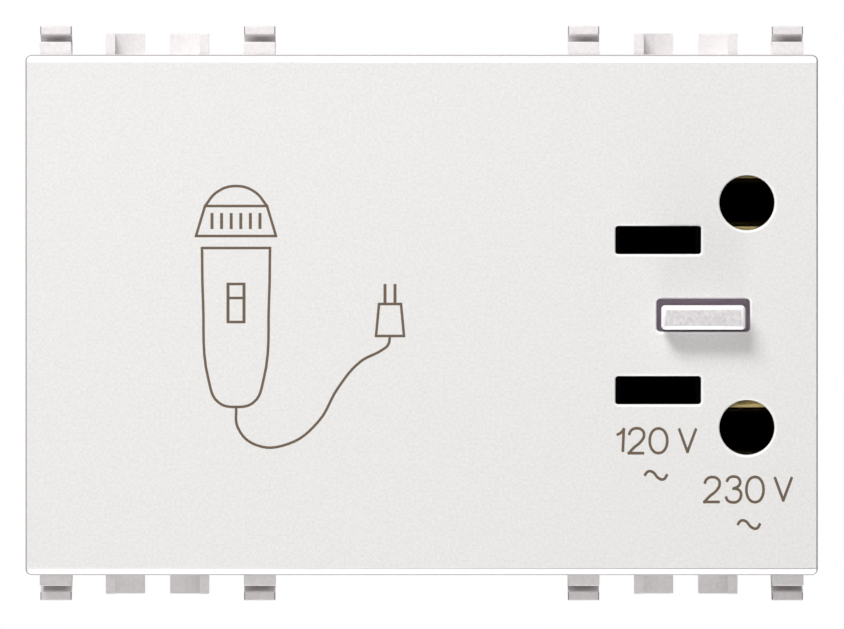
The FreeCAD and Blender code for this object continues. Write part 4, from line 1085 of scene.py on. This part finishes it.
# Printed lettering: columns and rows of the photo frame.
DIGIT_ONE = Stroke(
    ((616.6, 435.0, False), (620.8, 432.8, True), (623.8, 429.2, False), (622.8, 452.0, False))
)
DIGIT_TWO = Stroke(
    (
        (628.9, 435.0, False), (631.4, 430.2, True), (637.0, 428.3, True), (642.6, 430.6, True),
        (644.0, 435.8, True), (641.0, 441.6, True), (634.0, 447.6, True), (628.8, 453.2, False),
        (644.2, 453.2, False),
    )
)
DIGIT_THREE = Stroke(
    (
        (726.4, 481.8, False), (729.4, 477.8, True), (734.0, 476.6, True), (739.0, 478.8, True),
        (739.6, 484.6, True), (733.6, 488.6, False), (739.6, 490.6, True), (741.0, 496.0, True),
        (738.0, 501.2, True), (732.6, 502.4, True), (727.6, 500.4, True), (725.8, 496.4, False),
    )
)
ZERO_ABOVE = oval(658.5, 440.8, 8.8, 12.4)
ZERO_BELOW = oval(755.0, 489.6, 8.6, 12.7)
LETTER_V = cornered((678.9, 428.4), (687.5, 451.8), (696.2, 428.4))
WAVE = bent(
    (644.4, 475.8), (648.4, 471.4), (652.6, 472.0), (658.6, 478.2), (663.4, 479.4), (667.4, 474.2)
)

# From a mark of the upper line to the same mark of the lower line, in columns and rows.
TWO_SHIFT = (75.6, 48.8)
V_SHIFT = (95.8, 48.6)
WAVE_SHIFT = (93.0, 49.2)

# Moulded letters, round their own middle.
LETTER_L = cornered((-7, -14), (-7, 14), (8, 14))
LETTER_N = cornered((-8, 14), (-8, -14), (8, 14), (8, -14))

# Pictogram of an upright shaver, its cord and a two-pin plug.
SHAVER_HEAD = cornered((196, 236), (276, 236), (267, 206), (205, 206), closed=True)
SHAVER_FOIL = Stroke(
    ((205, 206, False), (217, 192, True), (236, 186, True), (255, 192, True), (267, 206, False))
)
SHAVER_BODY = Stroke(
    (
        (202, 248, False), (270, 248, False), (269, 300, True), (263, 382, True), (254, 402, True),
        (236, 407, True), (218, 402, True), (209, 382, True), (203, 300, True),
    ),
    True,
)
SHAVER_SLIDER = cornered((228, 284), (244, 284), (244, 322), (228, 322), closed=True)
SHAVER_KNOB = cornered((228, 298), (244, 298))
SHAVER_CORD = bent(
    (236, 407), (238, 428), (256, 445), (288, 444), (318, 422), (338, 388), (360, 362), (382, 350),
    (388, 345), (390, 336),
)
SHAVER_PLUG = cornered((376, 336), (404, 336), (401, 304), (379, 304), closed=True)
PLUG_PINS = upright((385, 395), (304, 284))
HEAD_TEETH = upright((212, 221.6, 231.2, 240.8, 250.4, 260), (213, 229))


@dataclass(frozen=True)
class Sheet:
    """Where the columns and rows of a drawing lie on the object.

    Attributes:
        column: Column of the drawing's middle.
        row: Row of the drawing's middle.
        middle_at: Place of the middle on the object.
        turned: True on the rear, which is read from behind.
    """

    column: float
    row: float
    middle_at: Place
    turned: bool = False

    def at(self, column: float, row: float) -> Place:
        """Place of a column and row on the object, with its depth left at zero."""
        x = (column - self.column) / PIXELS_PER_MM * MM * (-1 if self.turned else 1)
        z = (self.row - row) / PIXELS_PER_MM * MM
        return (self.middle_at[0] + x, 0.0, self.middle_at[2] + z)


@dataclass
class Marks:
    """Voltage marks and pictogram on the face, and the terminals' moulded letters on the rear.

    Attributes:
        face_y: Depth of the face.
        housing: Tray that carries the moulded letters.
        ink: Thickness of the print.
        relief: Height of the moulded letters.
        letter_line: Width of the lettering's lines.
        drawing_line: Width of the pictogram's lines.
        moulded: How many times wider a moulded line is than a printed one.
        overlap: Part of half a line's width that a run goes on beyond a corner.
    """

    face_y: float
    housing: Housing
    ink: float = 0.012 * MM
    relief: float = 0.3 * MM
    letter_line: float = 0.27 * MM
    drawing_line: float = 0.255 * MM
    moulded: float = 1.8
    overlap: float = 0.7

    def build(self) -> None:
        """Print all marks and mould the letters."""
        above = [DIGIT_ONE, DIGIT_TWO, ZERO_ABOVE, LETTER_V, WAVE]
        below = [
            DIGIT_TWO.moved(*TWO_SHIFT),
            DIGIT_THREE,
            ZERO_BELOW,
            LETTER_V.moved(*V_SHIFT),
            WAVE.moved(*WAVE_SHIFT),
        ]
        shaver = [SHAVER_HEAD, SHAVER_FOIL, SHAVER_BODY, SHAVER_SLIDER, SHAVER_KNOB, SHAVER_CORD]
        shaver += [SHAVER_PLUG, *PLUG_PINS, *HEAD_TEETH]
        face = Sheet(*PLATE_MIDDLE, (0.0, self.face_y, 0.0))
        self.lines("mark_120_volts", above, self.letter_line, face, self.ink, INK)
        self.lines("mark_230_volts", below, self.letter_line, face, self.ink, INK)
        self.lines("mark_shaver", shaver, self.drawing_line, face, self.ink, INK)
        floor_y = self.housing.rear_y - self.housing.recess
        heavy = self.moulded * self.letter_line
        for name, letter, side in (("letter_line", LETTER_L, 1), ("letter_neutral", LETTER_N, -1)):
            place = (self.housing.letter_x, floor_y, side * self.housing.entry_z)
            self.lines(name, [letter], heavy, Sheet(0.0, 0.0, place, True), self.relief, HOUSING)

    def lines(
        self,
        name: str,
        strokes: Sequence[Stroke],
        width: float,
        sheet: Sheet,
        height: float,
        finish: Finish,
    ) -> bpy.types.Object:
        """Draw lines as one piece.

        Args:
            name: Name of the piece.
            strokes: Its lines.
            width: Width of the lines.
            sheet: Where they lie.
            height: How far they stand proud.
            finish: Their finish.

        Returns:
            The drawn piece.
        """
        curve = bpy.data.curves.new(name + "_line", "CURVE")
        curve.dimensions = "3D"
        curve.bevel_depth = width / 2
        curve.bevel_resolution = LINE_SIDES
        curve.resolution_u = LINE_STEPS
        curve.use_fill_caps = True
        extra = width / 2 / MM * PIXELS_PER_MM * self.overlap
        for stroke in (run for whole in strokes for run in whole.runs(extra)):
            spline = curve.splines.new("BEZIER")
            spline.bezier_points.add(len(stroke.points) - 1)
            spline.use_cyclic_u = stroke.closed
            for point, (column, row, bend) in zip(spline.bezier_points, stroke.points):
                point.co = sheet.at(column, row)
                kind = "AUTO" if bend else "VECTOR"
                point.handle_left_type = kind
                point.handle_right_type = kind
        holder = add_object(name + "_line", curve)
        mesh = evaluated_mesh(holder)
        bpy.data.objects.remove(holder)
        bpy.data.curves.remove(curve)
        piece = Piece(name)
        piece.bm.from_mesh(mesh)
        bpy.data.meshes.remove(mesh)
        corners = piece.bm.verts
        bmesh.ops.remove_doubles(piece.bm, verts=corners, dist=LINE_WELD)
        bmesh.ops.scale(piece.bm, verts=corners, vec=(1.0, height * 2 / width, 1.0))
        bmesh.ops.translate(piece.bm, verts=corners, vec=(0.0, sheet.middle_at[1], 0.0))
        return piece.object(finish, "housing")


@dataclass(frozen=True)
class Lamp:
    """Soft rectangular lamp that points at the object.

    Attributes:
        name: Name of the lamp.
        place: Where it hangs.
        size: Width and height.
        power: Watts.
        colour: Linear colour of its light.
    """

    name: str
    place: Place
    size: tuple[float, float]
    power: float
    colour: Colour = (0.985, 0.988, 0.975)

    def hang(self) -> None:
        """Put the lamp into the scene."""
        data = bpy.data.lights.new(self.name, "AREA")
        data.shape = "RECTANGLE"
        data.size, data.size_y = self.size
        data.energy = self.power
        data.color = self.colour
        made = add_object(self.name, data)
        turn = (-Vector(self.place)).to_track_quat("-Z", "Y").to_matrix().to_4x4()
        made.matrix_world = Matrix.Translation(self.place) @ turn


LAMPS = (
    Lamp("key_above", (-0.2, -0.36, 0.49), (0.3, 0.18), 3.55),
    Lamp("low_below", (0.1, -0.15, -1.06), (0.5, 0.3), 6.3),
    Lamp("fill_front", (0.2, -1.2, 0.75), (0.6, 0.5), 1.6),
    Lamp("rear_soft", (-0.5, 1.0, 0.2), (0.5, 0.4), 2.2),
)


@dataclass
class Studio:
    """Floor, lamps, world and camera.

    Attributes:
        floor_z: Height of the floor.
        floor_radius: Radius of the floor.
        floor_steps: Corners of the floor's rim.
        fade: Distances from the origin between which the floor turns white.
        pale: Grey of the floor for the camera.
        bounce: Grey of the floor for the light that it sends back onto the object.
        ambient: Colour of the ambient light.
        ambient_strength: Its strength.
        distance: Camera to the face.
        face_y: Depth of the face.
        eye_height: Height of the camera over the middle of the plate.
        sensor: Width of the camera's sensor in millimetres.
        sight: How far the camera sees.
    """

    floor_z: float = -30 * MM
    floor_radius: float = 0.6
    floor_steps: int = 96
    fade: tuple[float, float] = (0.045, 0.085)
    pale: float = 0.9
    bounce: float = 0.5
    ambient: Colour = (1.0, 0.92, 0.99)
    ambient_strength: float = 0.27
    distance: float = 2.378
    face_y: float = -9.0 * MM
    eye_height: float = 38 * MM
    sensor: float = 36.0
    sight: float = 20.0

    def camera(self) -> None:
        """Place the camera before the face and a little above it, as in the photo."""
        data = bpy.data.cameras.new("camera")
        data.sensor_width = self.sensor
        data.lens = self.sensor * self.distance / (PHOTO[0] / PIXELS_PER_MM * MM)
        data.clip_end = self.sight
        eye = add_object("camera", data)
        off_x = (PHOTO[0] / 2 - PLATE_MIDDLE[0]) / PIXELS_PER_MM * MM
        off_z = (PLATE_MIDDLE[1] - PHOTO[1] / 2) / PIXELS_PER_MM * MM
        tilt = math.asin(self.eye_height / self.distance)
        turn = Matrix.Rotation(math.pi / 2 - tilt, 4, "X")
        aim = Matrix.Translation((off_x, self.face_y, off_z)) @ turn
        eye.matrix_world = aim @ Matrix.Translation((0.0, 0.0, self.distance))
        bpy.context.scene.camera = eye

    def world(self) -> None:
        """White for the camera, reflections and glass, softer as ambient light."""
        world = bpy.data.worlds.new("studio")
        bpy.context.scene.world = world
        world.use_nodes = True
        tree = world.node_tree
        tree.nodes.clear()
        rays = add_node(tree, "ShaderNodeLightPath").outputs
        shown = rays["Is Camera Ray"]
        for kind in ("Is Glossy Ray", "Is Transmission Ray"):
            both = {0: shown, 1: rays[kind]}
            shown = add_node(tree, "ShaderNodeMath", both, operation="MAXIMUM").outputs["Value"]
        inputs = {"Color": (*self.ambient, 1.0), "Strength": self.ambient_strength}
        soft = add_node(tree, "ShaderNodeBackground", inputs).outputs["Background"]
        white = add_node(tree, "ShaderNodeBackground", PURE_WHITE).outputs["Background"]
        mix = add_node(tree, "ShaderNodeMixShader", {"Fac": shown, 1: soft, 2: white})
        add_node(tree, "ShaderNodeOutputWorld", {"Surface": mix.outputs["Shader"]})

    def floor(self) -> None:
        """Pale round floor that fades to white away from the object and keeps its shadow."""
        bm = bmesh.new()
        bmesh.ops.create_circle(
            bm, cap_ends=True, segments=self.floor_steps, radius=self.floor_radius
        )
        bmesh.ops.translate(bm, verts=bm.verts, vec=(0, 0, self.floor_z))
        mesh = bpy.data.meshes.new("floor")
        bm.to_mesh(mesh)
        bm.free()
        made = add_object("floor", mesh)
        made.visible_shadow = False
        mesh.materials.append(self.floor_material())

    def floor_material(self) -> bpy.types.Material:
        """Matt pale floor whose far part glows as white as the world.

        Returns:
            The material of the floor.
        """
        material = bpy.data.materials.new("pale_floor")
        material.use_nodes = True
        tree = material.node_tree
        tree.nodes.clear()
        seen = add_node(tree, "ShaderNodeLightPath").outputs["Is Camera Ray"]
        place = add_node(tree, "ShaderNodeTexCoord").outputs["Object"]
        away = add_node(tree, "ShaderNodeVectorMath", {0: place}, operation="LENGTH")
        inputs = {"Value": away.outputs["Value"]}
        inputs |= {"From Min": self.fade[0], "From Max": self.fade[1]}
        fade = add_node(tree, "ShaderNodeMapRange", inputs, interpolation_type="SMOOTHSTEP")
        inputs = {"A": (*[self.bounce] * 3, 1.0), "B": (*[self.pale] * 3, 1.0), "Factor": seen}
        grey = add_node(tree, "ShaderNodeMix", inputs, data_type="RGBA").outputs["Result"]
        matt = add_node(tree, "ShaderNodeBsdfDiffuse", {"Color": grey}).outputs["BSDF"]
        glow = add_node(tree, "ShaderNodeEmission", PURE_WHITE).outputs["Emission"]
        both = {0: fade.outputs["Result"], 1: seen}
        far = add_node(tree, "ShaderNodeMath", both, operation="MULTIPLY").outputs["Value"]
        mix = add_node(tree, "ShaderNodeMixShader", {"Fac": far, 1: matt, 2: glow})
        add_node(tree, "ShaderNodeOutputMaterial", {"Surface": mix.outputs["Shader"]})
        return material

    def build(self) -> None:
        """Set up the whole studio."""
        self.camera()
        self.world()
        self.floor()
        for lamp in LAMPS:
            lamp.hang()
        bpy.context.scene.view_settings.view_transform = "Standard"


def dress_nodes(nodes: dict[str, bpy.types.Object]) -> None:
    """Give every CAD node its finish.

    Args:
        nodes: CAD nodes by name.
    """
    finishes = {name: finish for finish, names in FINISH_NODES.items() for name in names}
    for name, made in nodes.items():
        made.data.materials.clear()
        made.data.materials.append(finishes[name].material())


def main() -> None:
    """Build the dress of the socket."""
    logging.basicConfig(level=logging.INFO, format="%(name)s %(message)s")
    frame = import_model()
    nodes = frame["nodes"]
    dress_nodes(nodes)
    face_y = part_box("front_cover")[0].y
    rear_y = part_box("front_cover")[1].y
    FaceCover(face_y, rear_y).build(nodes["front_cover"])
    PlungerBar(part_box("plug_plunger")[0].y).build(nodes["plug_plunger"])
    front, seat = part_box("plunger_spring")
    ReturnSpring(front.y, seat.y).build(nodes["plunger_spring"])
    housing = Housing(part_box("rear_housing")[1].y)
    housing.build(nodes["rear_housing"])
    Marks(face_y, housing).build()
    Studio().build()


if __name__ == "__main__":
    main()
